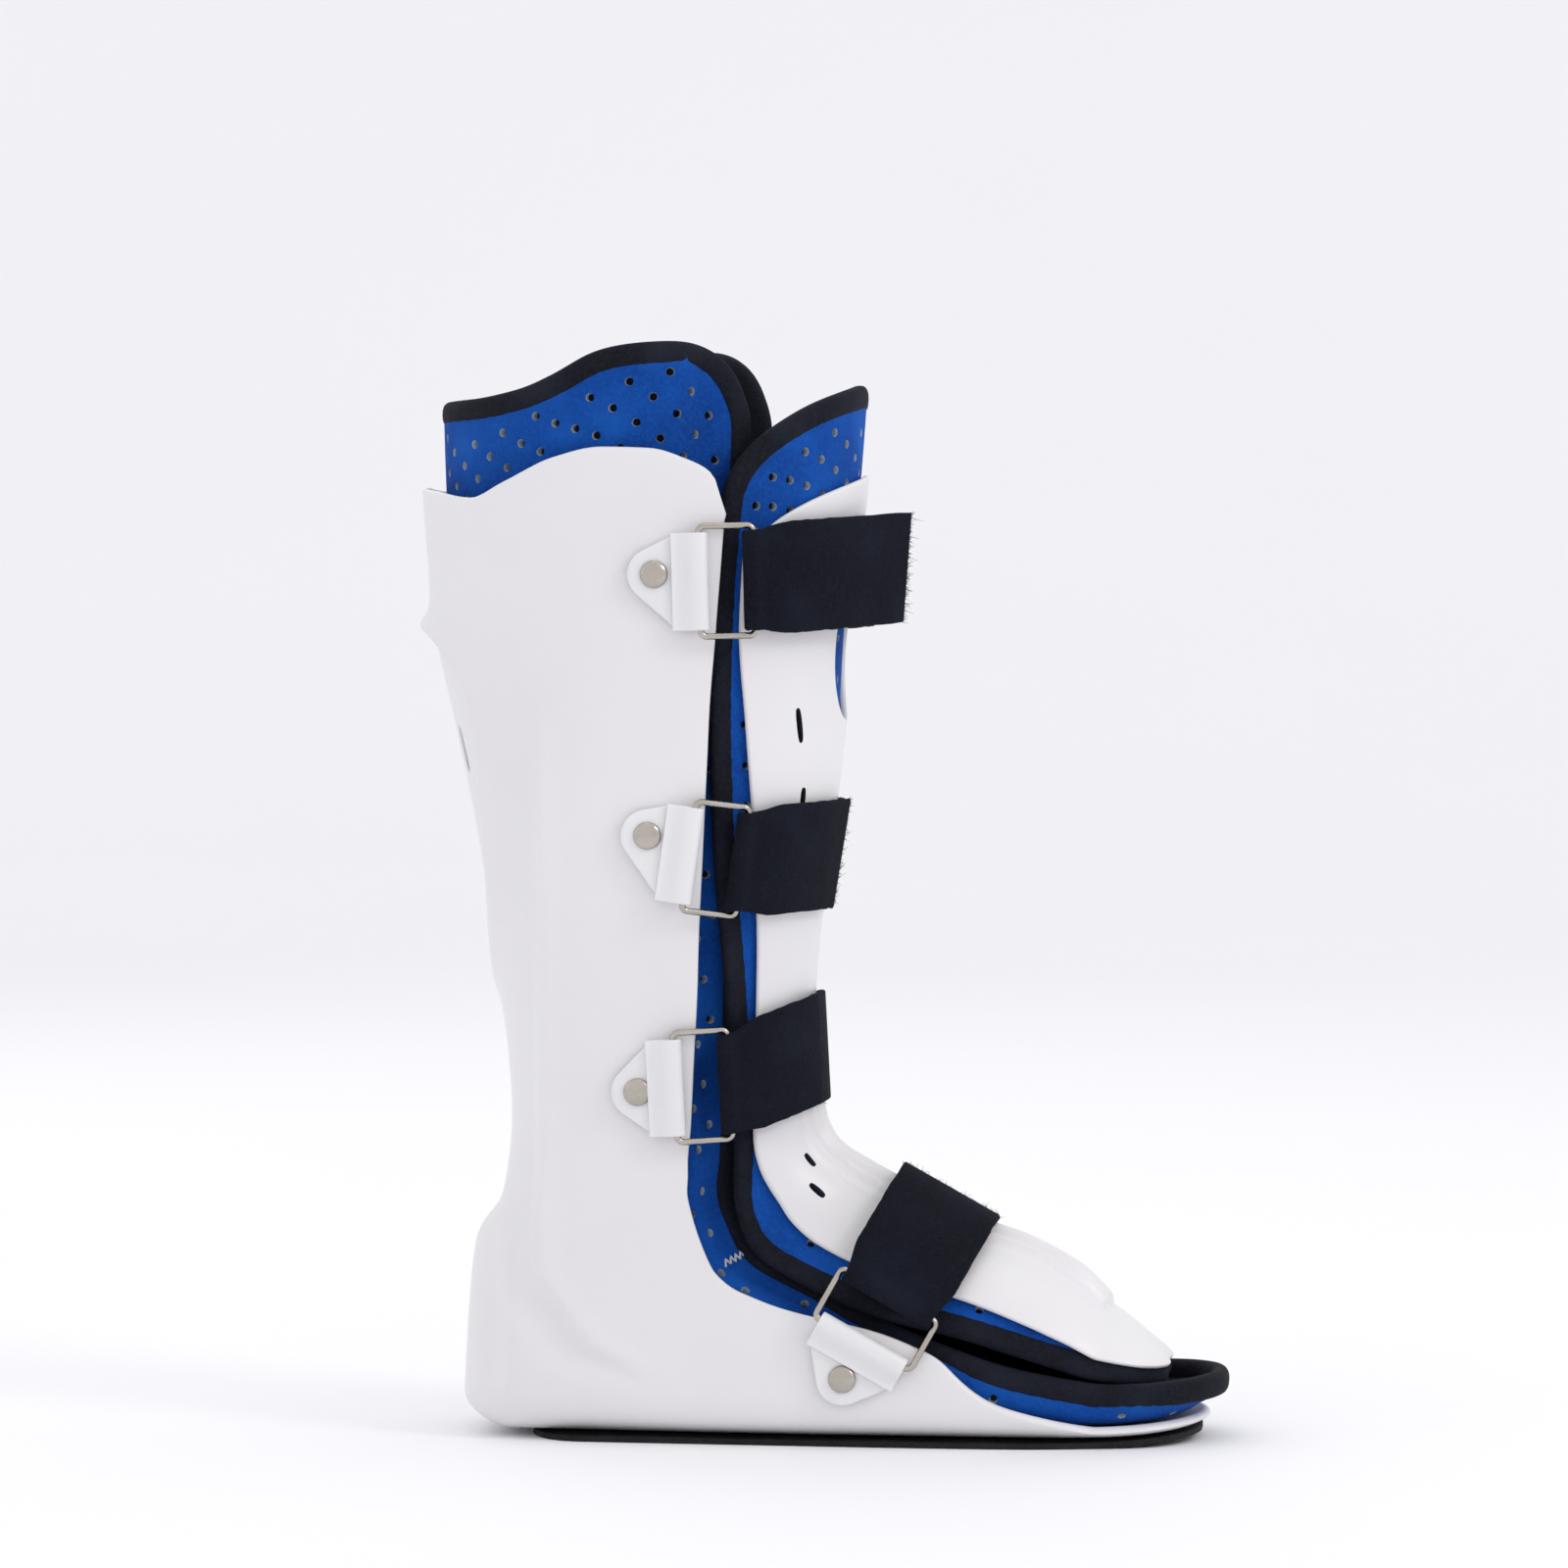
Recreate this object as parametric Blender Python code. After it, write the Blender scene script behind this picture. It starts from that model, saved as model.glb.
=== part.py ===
"""Walking boot: a stiff outer shell with a foam liner, a tongue and four straps.

Metres, +Z up, toes to +X, origin on the floor under the instep.
Every layer is lofted through the same half sections of the boot. A section plane
holds the Y axis and runs from the back line (calf, heel, sole) to the front line
(shin, instep, toes), and at the toes it turns about an upright pivot.
"""
import math

import bmesh
import bpy
from mathutils import Vector
from mathutils.bvhtree import BVHTree

# Overall sizes
SOLE_LENGTH = 0.276
ANKLE_HEIGHT = 0.115
SHELL_HEIGHT = 0.346
CALF_DEPTH = 0.164
CALF_WIDTH = 0.124
FOOT_WIDTH = 0.098
LEG_SETBACK = 0.050

# Walls and clearances
SHELL_WALL = 0.003
PLATE_WALL = 0.0022
FOAM = 0.005
TONGUE_FOAM = 0.0045
BINDING_WIDTH = 0.009
BINDING_PROUD = 0.00075
GAP = 0.0003
LAYER_GAP = 0.0009
TUCK_GAP = 0.0019
LINER_SLACK = 0.0045
LINER_SIDE_GAP = 0.0024
LINER_ROUNDER = 0.80
LINER_SLACK_START = 0.87
LINER_SIDE_SLACK = 0.4
TUCK_LENGTH = 0.014
TUCK_MARGIN = 0.0025
LIP_HEIGHT = 0.0045

# Sole
OUTSOLE = 0.002
OUTSOLE_INSET = 0.0025
HEEL_SHARE = 0.406
TOE_SPRING = 0.0036
SPRING_START = 0.105
SOLE_END_HALF = 0.006
SOLE_FROM_HEEL = (0.0, 0.006, 0.020)
SOLE_FROM_SPRING = (0.0, 0.015, 0.030, 0.042)
SOLE_FROM_TIP = (0.005, 0.0015)

# Relief of the shell. The back panel's rim grows upward in two steps: each has a low and a
# high share of SHELL_HEIGHT and the share of the rim left below them. The side step fades
# between shares of SHELL_HEIGHT at its top and foot, and of half the foot's width inward.
RIM_ROLL = 0.0045
RIM_ROLL_WIDTH = 0.0048
RIM_LOWER = (0.40, 0.62, 0.30)
RIM_UPPER = (0.75, 0.84, 0.62)
PANEL_DEPTH = 0.0012
PANEL_FOOT = 0.85
SIDE_STEP = 0.0016
SIDE_STEP_WIDTH = 0.007
SIDE_STEP_END = 2.6
SIDE_STEP_TOP = (0.80, 0.68)
SIDE_STEP_FOOT = (0.06, 0.10)
SIDE_STEP_INWARD = (0.3, 0.8)
VENT_LENGTH = 0.018
VENT_WIDTH = 0.0045
VENT_SPREAD = 0.022
VENT_LEVEL = 0.62

# Tongue plate
WINDOW_HEIGHT = 0.052
WINDOW_WIDTH = 0.040
WINDOW_LEVEL = 0.75
SLIT_WIDTH = 0.0022

# Straps and hardware
STRAP_WIDTH = 0.036
STRAP_THICK = 0.0022
STRAP_GAP = 0.0007
LAP_GAP = 0.0004
BAND_MARGIN = 0.002
LEAST_BEND = 0.6
CHORD_ERROR = 0.0002
WIRE = 0.0024
RING_WIDTH = 0.0395
RING_DEPTH = 0.020
RING_CORNER = 0.0022
TAB_WIDTH = 0.0350
TAB_THICK = 0.0015
TAB_FOLD = 0.008
TAB_END_RADIUS = 0.0095
RIVET_HEAD = 0.010
RIVET_DOME = 0.0022
RIVET_SHANK = 0.004
WIRE_SIDES = 5
ROUND_SIDES = 8
SWELL_SIDES = 16

# Shares along the tab's round end, and of its height back down to its folded end
TAB_END_SHARES = (0.0, 0.25, 0.6)
TAB_RETURN = ((1.0, 1.0), (0.45, 0.7))

# A padded edge's section: shares of half its width and half its thickness
BINDING_SECTION = ((1.0, 0.0), (0.55, 1.0), (-0.55, 1.0), (-1.0, 0.0), (-0.55, -1.0), (0.55, -1.0))

# Steps for reading slopes off the curves, and the least sine of a section's lean
STATION_STEP = 0.004
ACROSS_STEP = 0.004
LEAST_LEAN = 0.5

# Leg sections, from above the calf down to the ankle.
# level: share of the height from ankle to rim. back, front: share of CALF_DEPTH from
# the leg's axis. half: share of half the calf width. wide: where along the section it
# is widest. round_back, round_front: superellipse powers. shell, liner, tongue, plate:
# where along the section each layer ends.
LEG_COLUMNS = ("level", "back", "front", "half", "wide", "round_back", "round_front",
               "shell", "liner", "tongue", "plate")
LEG_ROWS = (
    (1.234, -0.494, 0.540, 1.020, 0.48, 2.25, 2.20, 0.722, 0.794, 0.750, 0.775),
    (1.000, -0.485, 0.515, 1.000, 0.48, 2.25, 2.20, 0.722, 0.799, 0.750, 0.776),
    (0.887, -0.473, 0.494, 0.990, 0.48, 2.25, 2.20, 0.721, 0.810, 0.748, 0.774),
    (0.779, -0.463, 0.479, 0.975, 0.48, 2.25, 2.20, 0.714, 0.818, 0.746, 0.776),
    (0.628, -0.418, 0.466, 0.935, 0.48, 2.25, 2.20, 0.690, 0.820, 0.738, 0.790),
    (0.433, -0.363, 0.433, 0.870, 0.48, 2.25, 2.20, 0.678, 0.830, 0.758, 0.827),
    (0.247, -0.323, 0.402, 0.800, 0.48, 2.25, 2.20, 0.670, 0.848, 0.804, 0.857),
    (0.108, -0.293, 0.393, 0.755, 0.47, 2.30, 2.20, 0.649, 0.849, 0.820, 0.858),
    (0.000, -0.284, 0.405, 0.735, 0.46, 2.35, 2.20, 0.622, 0.832, 0.820, 0.832),
)

# Foot sections, from the ankle round the heel and forward to the toe pivot.
# path: share of the way. back_x, front_x: share of SOLE_LENGTH. back_z, front_z: share
# of the ankle height above the shell's base. half: share of half the foot width.
# tuck: how far the liner's edge dives under the tongue.
FOOT_COLUMNS = ("path", "back_x", "back_z", "front_x", "front_z", "half", "wide",
                "round_back", "round_front", "shell", "liner", "tongue", "plate", "tuck")
FOOT_ROWS = (
    (0.080, -0.361, 0.760, 0.076, 0.920, 0.940, 0.44, 2.5, 2.20, 0.600, 0.806, 0.801, 0.818, 1.0),
    (0.130, -0.393, 0.610, 0.094, 0.880, 0.935, 0.42, 2.7, 2.20, 0.603, 0.793, 0.785, 0.820, 1.0),
    (0.205, -0.402, 0.379, 0.116, 0.849, 0.925, 0.40, 3.0, 2.20, 0.607, 0.776, 0.758, 0.821, 1.0),
    (0.300, -0.406, 0.104, 0.141, 0.816, 0.915, 0.40, 3.6, 2.20, 0.618, 0.764, 0.750, 0.822, 1.0),
    (0.360, -0.351, 0.000, 0.174, 0.776, 0.920, 0.40, 4.4, 2.20, 0.606, 0.752, 0.742, 0.809, 1.0),
    (0.465, -0.225, 0.000, 0.221, 0.718, 0.940, 0.39, 4.8, 2.20, 0.575, 0.718, 0.708, 0.787, 1.0),
    (0.600, -0.054, 0.000, 0.275, 0.650, 0.980, 0.38, 5.2, 2.20, 0.555, 0.628, 0.672, 0.777, 1.0),
    (0.750, 0.127, 0.000, 0.333, 0.601, 1.000, 0.37, 5.4, 2.20, 0.460, 0.488, 0.641, 0.742, 0.6),
    (0.880, 0.290, 0.000, 0.388, 0.532, 0.990, 0.35, 5.4, 2.20, 0.215, 0.372, 0.597, 0.695, 0.0),
    (1.000, 0.435, 0.000, 0.438, 0.452, 0.940, 0.32, 5.4, 2.20, 0.083, 0.310, 0.550, 0.625, 0.0),
)

# Toe sections, which turn from across the foot to straight ahead.
TOE_TURN = math.radians(90.0)
TOE_PATH = 0.2
TOE_ROUND = 2.25
TOE_STEPS = 6
TOE_END = {"liner": 0.265, "tongue": 0.52, "plate": 0.60}
TOE_FLARE = 0.008
FLARE_START = -0.3
FLARE_END = 2.5
TONGUE_SIDE_SET = 0.0025
TONGUE_TOE_SET = 0.0155

# Top edges. across: share of the way along the edge. lift: share of the calf depth.
SHELL_RIM = ((0.0, 0.0), (0.20, -0.010), (0.36, -0.027), (0.46, 0.008), (0.59, 0.061),
             (0.70, 0.082), (0.815, 0.079), (0.91, 0.053), (0.965, 0.024), (1.0, -0.060))
LINER_RIM = ((0.0, 0.0), (0.25, 0.004), (0.41, 0.023), (0.52, 0.059), (0.63, 0.109),
             (0.72, 0.122), (0.81, 0.126), (0.89, 0.115), (0.945, 0.085), (1.0, -0.010))
TONGUE_RIM = ((0.0, 0.0), (0.25, -0.015), (0.51, -0.043), (0.74, -0.091), (0.92, -0.152),
              (1.0, -0.215))
PLATE_RIM = ((0.0, 0.0), (0.28, -0.018), (0.56, -0.049), (0.81, -0.098), (1.0, -0.170))
LINER_TOP = 1.119
TONGUE_TOP = 1.147
PLATE_TOP = 1.019

# The raised rim round the back panel. level: share of the calf height. half: share of
# half the calf width.
PANEL_RIM = ((0.800, 0.00), (0.797, 0.30), (0.775, 0.52), (0.700, 0.64), (0.620, 0.62),
             (0.520, 0.56), (0.370, 0.43), (0.270, 0.26), (0.215, 0.00))

# The step that parts the flat side from the back. x: share of SOLE_LENGTH from the
# origin. z: share of SHELL_HEIGHT.
SIDE_LINE = ((-0.300, 0.780), (-0.302, 0.600), (-0.305, 0.250), (-0.303, 0.180),
             (-0.275, 0.145), (-0.228, 0.098), (-0.180, 0.075))

# Slits in the tongue plate. x: share of SOLE_LENGTH. z: share of SHELL_HEIGHT. length: in
# metres. lean: degrees that the top leans to the heel.
SLITS = (
    (0.0453, 0.7494, 0.0130, 8.0),
    (0.0500, 0.6734, 0.0100, 0.0),
    (0.0554, 0.2934, 0.0060, 44.0),
    (0.0674, 0.2616, 0.0071, 53.0),
)

# Straps, from the calf to the instep. x: share of SOLE_LENGTH. z: share of
# SHELL_HEIGHT. tilt: lean of the ring's bar from upright. rivet: distance behind the
# bar and rivet_up along it. rise: climb for each unit forward. lap: length of the free
# end. straight: where along the lap it leaves the layer below.
STRAP_COLUMNS = ("name", "x", "z", "tilt", "rivet", "rivet_up", "rise", "lap", "straight")
STRAPS = (
    ("1", -0.0760, 0.902, -1.5, 0.0163, 0.0030, 0.07, 0.062, 0.034),
    ("2", -0.0925, 0.618, 8.0, 0.0158, 0.0050, 0.20, 0.046, 0.046),
    ("3", -0.1120, 0.375, -3.0, 0.0138, -0.0010, 0.32, 0.042, 0.042),
    ("4", 0.1348, 0.1104, -60.8, 0.0150, 0.0000, 0.00, 0.058, 0.058),
)
FAR_LAP = 0.026

COLOURS = {
    "plastic": ((0.82, 0.81, 0.83), 0.38, 0.0),
    "foam": ((0.0, 0.055, 0.30), 0.95, 0.0),
    "binding": ((0.009, 0.010, 0.022), 0.9, 0.0),
    "strap": ((0.006, 0.007, 0.016), 0.92, 0.0),
    "rubber": ((0.012, 0.012, 0.014), 0.8, 0.0),
    "nickel": ((0.66, 0.62, 0.56), 0.22, 1.0),
}


def ramp(value, low, high):
    """Smooth step from 0 at low to 1 at high."""
    share = min(1.0, max(0.0, (value - low) / (high - low)))
    return share * share * (3.0 - 2.0 * share)


def smooth_curve(points):
    """Monotone cubic through (x, y) points, as a function of x."""
    xs = [point[0] for point in points]
    ys = [point[1] for point in points]
    slopes = [(ys[i + 1] - ys[i]) / (xs[i + 1] - xs[i]) for i in range(len(xs) - 1)]
    tangents = [slopes[0]]
    for before, after in zip(slopes, slopes[1:]):
        flat = before * after <= 0.0
        tangents.append(0.0 if flat else 2.0 * before * after / (before + after))
    tangents.append(slopes[-1])

    def value(x):
        if x <= xs[0]:
            return ys[0] + tangents[0] * (x - xs[0])
        if x >= xs[-1]:
            return ys[-1]
        i = max(k for k in range(len(xs) - 1) if xs[k] <= x)
        step = xs[i + 1] - xs[i]
        t = (x - xs[i]) / step
        return ((1 + 2 * t) * (1 - t) ** 2 * ys[i] + t * (1 - t) ** 2 * step * tangents[i]
                + t * t * (3 - 2 * t) * ys[i + 1] - t * t * (1 - t) * step * tangents[i + 1])

    return value


BASE = OUTSOLE + GAP
TOE_TIP = SOLE_LENGTH * (1.0 - HEEL_SHARE)


def toe_spring(x):
    """How far the sole has bent up at a place along it."""
    return TOE_SPRING * (max(0.0, x - SPRING_START) / (TOE_TIP - SPRING_START)) ** 2


def toe_reach(turn):
    """Distance from the toe pivot to the shell's outline, at a turn from sideways."""
    last = dict(zip(FOOT_COLUMNS, FOOT_ROWS[-1]))
    side = FOOT_WIDTH / 2 * last["half"]
    ahead = TOE_TIP - SOLE_LENGTH * last["back_x"]
    return ((math.cos(turn) / side) ** TOE_ROUND
            + (math.sin(turn) / ahead) ** TOE_ROUND) ** (-1.0 / TOE_ROUND)


def boot_rows():
    """All sections in metres, keyed by station: minus level, then path, then toe."""
    rows = []
    for values in LEG_ROWS:
        row = dict(zip(LEG_COLUMNS, values))
        height = ANKLE_HEIGHT + row["level"] * (SHELL_HEIGHT - ANKLE_HEIGHT)
        row.update(station=-row["level"], back_x=row["back"] * CALF_DEPTH - LEG_SETBACK,
                   front_x=row["front"] * CALF_DEPTH - LEG_SETBACK, back_z=height,
                   front_z=height, half=row["half"] * CALF_WIDTH / 2, tuck=1.0,
                   turn=0.0, tongue_set=0.0, flare=0.0)
        rows.append(row)
    for values in FOOT_ROWS:
        row = dict(zip(FOOT_COLUMNS, values))
        rise = ANKLE_HEIGHT - BASE
        row.update(station=row["path"], back_x=row["back_x"] * SOLE_LENGTH,
                   front_x=row["front_x"] * SOLE_LENGTH, back_z=BASE + row["back_z"] * rise,
                   front_z=BASE + row["front_z"] * rise, half=row["half"] * FOOT_WIDTH / 2,
                   turn=0.0, tongue_set=0.0, flare=0.0)
        rows.append(row)
    rows[-1]["tongue_set"] = TONGUE_SIDE_SET
    pivot = dict(rows[-1])
    for step in range(1, TOE_STEPS + 1):
        share = step / TOE_STEPS
        row = dict(pivot)
        row.update(station=1.0 + TOE_PATH * share, turn=TOE_TURN * share,
                   half=toe_reach(TOE_TURN * share),
                   tongue_set=TONGUE_SIDE_SET + ramp(share, 0.0, 1.0)
                   * (TONGUE_TOE_SET - TONGUE_SIDE_SET),
                   flare=TOE_FLARE * ramp(share, FLARE_START, 1.0))
        for layer, end in TOE_END.items():
            row[layer] = pivot[layer] + (end - pivot[layer]) * share
        rows.append(row)
    return rows


ROWS = boot_rows()
FIELDS = ("back_x", "back_z", "front_x", "front_z", "half", "wide", "round_back",
          "round_front", "shell", "liner", "tongue", "plate", "tuck", "turn",
          "tongue_set", "flare")
CURVES = {name: smooth_curve([(row["station"], row[name]) for row in ROWS]) for name in FIELDS}


def lean(section, ahead, end):
    """Sine of the angle between the section plane and the back or front line."""
    run = Vector((ahead[end + "_x"] - section[end + "_x"], ahead[end + "_z"] - section[end + "_z"]))
    if run.length < 1e-5:
        return 1.0
    along = Vector((section["front_x"] - section["back_x"], section["front_z"] - section["back_z"]))
    return max(LEAST_LEAN, abs(run.normalized().cross(along.normalized())))


def section_at(station):
    """The named sizes of the section at a station."""
    section = {name: curve(station) for name, curve in CURVES.items()}
    ahead = {name: CURVES[name](station + STATION_STEP)
             for name in ("back_x", "back_z", "front_x", "front_z")}
    section["back_lean"] = lean(section, ahead, "back")
    section["front_lean"] = lean(section, ahead, "front")
    section["depth"] = math.hypot(section["front_x"] - section["back_x"],
                                  section["front_z"] - section["back_z"])
    return section


def outline(section, inset, rounder, count=72):
    """Half outline as (share, along, out) points. inset gives back, side, front."""
    wide = section["wide"] * section["depth"]
    points = []
    for step in range(count + 1):
        angle = math.pi * step / count
        rear = angle <= math.pi / 2
        power = 2.0 / max(2.0, section["round_back" if rear else "round_front"] * rounder)
        cosine = abs(math.cos(angle)) ** power
        sine = abs(math.sin(angle)) ** power
        room = wide if rear else section["depth"] - wide
        sign = -1.0 if rear else 1.0
        share = (wide + sign * room * cosine) / section["depth"]
        back, side, front = inset(section, share)
        edge = back / section["back_lean"] if rear else front / section["front_lean"]
        points.append((share, wide + sign * (room - edge) * cosine,
                       max(0.0, (section["half"] - side) * sine)))
    return points


def part_of(points, low, high, across):
    """Point at a share of the way between two shares of the depth, by arc length."""
    kept = []
    for first, second in zip(points, points[1:]):
        if second[0] <= low or first[0] >= high:
            continue
        span = second[0] - first[0]
        enter = max(0.0, (low - first[0]) / span)
        leave = min(1.0, (high - first[0]) / span)
        for part in ((enter, leave) if not kept else (leave,)):
            kept.append((first[1] + part * (second[1] - first[1]),
                         first[2] + part * (second[2] - first[2])))
    lengths = [0.0]
    for first, second in zip(kept, kept[1:]):
        lengths.append(lengths[-1] + math.hypot(second[0] - first[0], second[1] - first[1]))
    target = across * lengths[-1]
    for i in range(1, len(kept)):
        if lengths[i] >= target or i == len(kept) - 1:
            span = lengths[i] - lengths[i - 1]
            part = (target - lengths[i - 1]) / span if span > 0.0 else 0.0
            part = min(1.0, max(0.0, part))
            return tuple(kept[i - 1][k] + part * (kept[i][k] - kept[i - 1][k]) for k in (0, 1))
    return kept[-1]


def place(section, along, out):
    """A section's point in space, on the near side, -Y."""
    share = along / section["depth"]
    x = section["back_x"] + share * (section["front_x"] - section["back_x"])
    z = section["back_z"] + share * (section["front_z"] - section["back_z"])
    x += out * math.sin(section["turn"])
    return Vector((x, -out * math.cos(section["turn"]), z + toe_spring(x)))


def tongue_inset(section, share):
    side = SHELL_WALL + TUCK_GAP + section["tongue_set"]
    return side, side, PLATE_WALL + LAYER_GAP


def plate_inset(section, share):
    side = SHELL_WALL + TUCK_GAP + section["tongue_set"] - PLATE_WALL - LAYER_GAP
    return side, side, 0.0


def liner_inset(section, share):
    """The liner lies in the shell and dives under the tongue at its front edge."""
    along = share * section["depth"]
    slack = LINER_SLACK * ramp(section["back_z"], LINER_SLACK_START * SHELL_HEIGHT, SHELL_HEIGHT)
    back = SHELL_WALL + LAYER_GAP + slack
    tongue_edge = section["tongue"] * section["depth"] - BINDING_WIDTH / 2 - TUCK_MARGIN
    tucked = ramp(along, tongue_edge - TUCK_LENGTH, tongue_edge) * section["tuck"]
    depth = TUCK_GAP + TONGUE_FOAM + 2 * LAYER_GAP + BINDING_PROUD
    flare = section["flare"] * ramp(along, LIP_HEIGHT, FLARE_END * LIP_HEIGHT)
    snug = LINER_SIDE_GAP + LINER_SIDE_SLACK * slack
    side = SHELL_WALL + snug + (depth - LINER_SIDE_GAP) * tucked - flare
    return back, side, side + PLATE_WALL


def shell_inset(section, share):
    return 0.0, 0.0, 0.0


def deeper(inset, wall):
    """The inset of a layer's inner face."""
    def inner(section, share):
        return tuple(value + wall for value in inset(section, share))
    return inner


def nearest(line, point):
    """Distance from a point to a polyline, and on which side of it."""
    best = None
    for first, second in zip(line, line[1:]):
        run = second - first
        share = min(1.0, max(0.0, (point - first).dot(run) / run.length_squared))
        away = point - (first + share * run)
        if best is None or away.length < best[0]:
            best = (away.length, run.cross(away))
    return best


LEG_RISE = SHELL_HEIGHT - ANKLE_HEIGHT
PANEL_LINE = [Vector((half * CALF_WIDTH / 2, ANKLE_HEIGHT + level * LEG_RISE))
              for level, half in PANEL_RIM]
SIDE_STEP_LINE = [Vector((x * SOLE_LENGTH, z * SHELL_HEIGHT)) for x, z in SIDE_LINE]


def relief(point):
    """How far the shell's wall stands out from its plain form."""
    raised = 0.0
    if point.z > PANEL_FOOT * ANKLE_HEIGHT and point.x < -LEG_SETBACK:
        away, side = nearest(PANEL_LINE, Vector((abs(point.y), point.z)))
        crest = 1.0
        for low, high, below in (RIM_LOWER, RIM_UPPER):
            crest *= below + (1.0 - below) * ramp(point.z, low * SHELL_HEIGHT, high * SHELL_HEIGHT)
        raised += RIM_ROLL * crest * math.exp(-(away / RIM_ROLL_WIDTH) ** 2)
        raised -= PANEL_DEPTH * ramp(away, 0.0, 2 * RIM_ROLL_WIDTH) if side < 0.0 else 0.0
    away, side = nearest(SIDE_STEP_LINE, Vector((point.x, point.z)))
    fade = 1.0
    for value, whole, (none, full) in ((point.z, SHELL_HEIGHT, SIDE_STEP_TOP),
                                       (abs(point.y), FOOT_WIDTH / 2, SIDE_STEP_INWARD),
                                       (point.z, SHELL_HEIGHT, SIDE_STEP_FOOT)):
        fade *= ramp(value, none * whole, full * whole)
    behind = away if side < 0.0 else -away
    dip = ramp(behind, -SIDE_STEP_WIDTH / 2, SIDE_STEP_WIDTH / 2)
    dip *= 1.0 - ramp(behind, SIDE_STEP_WIDTH, SIDE_STEP_END * SIDE_STEP_WIDTH)
    return raised - SIDE_STEP * fade * dip


def grid(stations, across, inset, ends, rim=None, top=None, fade=None, raised=None,
         rounder=1.0):
    """Rows of points. ends(section) gives the shares of the depth of both edges."""
    lift = smooth_curve(rim) if rim else None
    rows = []
    for station in stations:
        row = []
        for share in across:
            here = station
            if lift:
                shift = lift(share) * CALF_DEPTH / LEG_RISE
                here -= shift * (1.0 - ramp(station, top, fade))
            section = section_at(here)
            points = outline(section, inset, rounder)
            low, high = ends(section)
            part = share if low == 0.0 else 1.0 - share
            along, out = part_of(points, low, high, part)
            point = place(section, along, out)
            if raised:
                near = part_of(points, low, high, min(1.0, part + ACROSS_STEP))
                far = part_of(points, low, high, max(0.0, part - ACROSS_STEP))
                tangent = Vector((near[0] - far[0], near[1] - far[1])).normalized()
                amount = raised(point)
                point = place(section, along - amount * tangent.y, out + amount * tangent.x)
            row.append(point)
        rows.append(row)
    return rows


def from_back(layer):
    return lambda section: (0.0, section[layer])


def from_front(layer):
    return lambda section: (section[layer], 1.0)


def material(name):
    colour, roughness, metallic = COLOURS[name]
    made = bpy.data.materials.get(name) or bpy.data.materials.new(name)
    made.use_nodes = True
    shader = made.node_tree.nodes["Principled BSDF"]
    shader.inputs["Base Color"].default_value = (*colour, 1.0)
    shader.inputs["Roughness"].default_value = roughness
    shader.inputs["Metallic"].default_value = metallic
    return made


def add_object(name, mesh_data, finish, smooth=True):
    """A named object from a bmesh, closed, with its faces pointing out."""
    bmesh.ops.remove_doubles(mesh_data, verts=mesh_data.verts, dist=1e-6)
    bmesh.ops.dissolve_degenerate(mesh_data, dist=1e-7, edges=mesh_data.edges)
    bmesh.ops.recalc_face_normals(mesh_data, faces=mesh_data.faces)
    mesh = bpy.data.meshes.new(name)
    mesh_data.to_mesh(mesh)
    mesh_data.free()
    if smooth:
        mesh.shade_smooth()
        mesh.set_sharp_from_angle(angle=math.radians(50.0))
    mesh.materials.append(material(finish))
    made = bpy.data.objects.new(name, mesh)
    bpy.context.scene.collection.objects.link(made)
    return made


def mirrored(point):
    return Vector((point.x, -point.y, point.z))


def wall(outer, inner):
    """A closed wall between two half grids, mirrored to the far side."""
    made = bmesh.new()

    def full(rows):
        return [[made.verts.new(mirrored(p)) for p in reversed(row[1:])]
                + [made.verts.new(p) for p in row] for row in rows]

    faces = (full(outer), full(inner))
    count = len(faces[0][0])
    for k, rows in enumerate(faces):
        for i in range(len(rows) - 1):
            for j in range(count - 1):
                quad = [rows[i][j], rows[i][j + 1], rows[i + 1][j + 1], rows[i + 1][j]]
                made.faces.new(quad if k else reversed(quad))
    out, into = faces
    for j in range(count - 1):
        made.faces.new((out[0][j], out[0][j + 1], into[0][j + 1], into[0][j]))
    for i in range(len(out) - 1):
        for j in (0, count - 1):
            made.faces.new((out[i][j], into[i][j], into[i + 1][j], out[i + 1][j]))
    return made


def tube_between(rings, closed=True, caps=False):
    """A closed skin over equal rings of points."""
    made = bmesh.new()
    loops = [[made.verts.new(point) for point in ring] for ring in rings]
    count = len(loops[0])
    pairs = list(zip(loops, loops[1:])) + ([(loops[-1], loops[0])] if closed else [])
    for first, second in pairs:
        for k in range(count):
            made.faces.new((first[k], first[(k + 1) % count], second[(k + 1) % count], second[k]))
    if caps:
        made.faces.new(loops[0])
        made.faces.new(reversed(loops[-1]))
    return made


def edge_of(rows):
    """The free edge of a half grid: along its top row, then down its last column."""
    return rows[0] + [row[-1] for row in rows[1:]]


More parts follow.
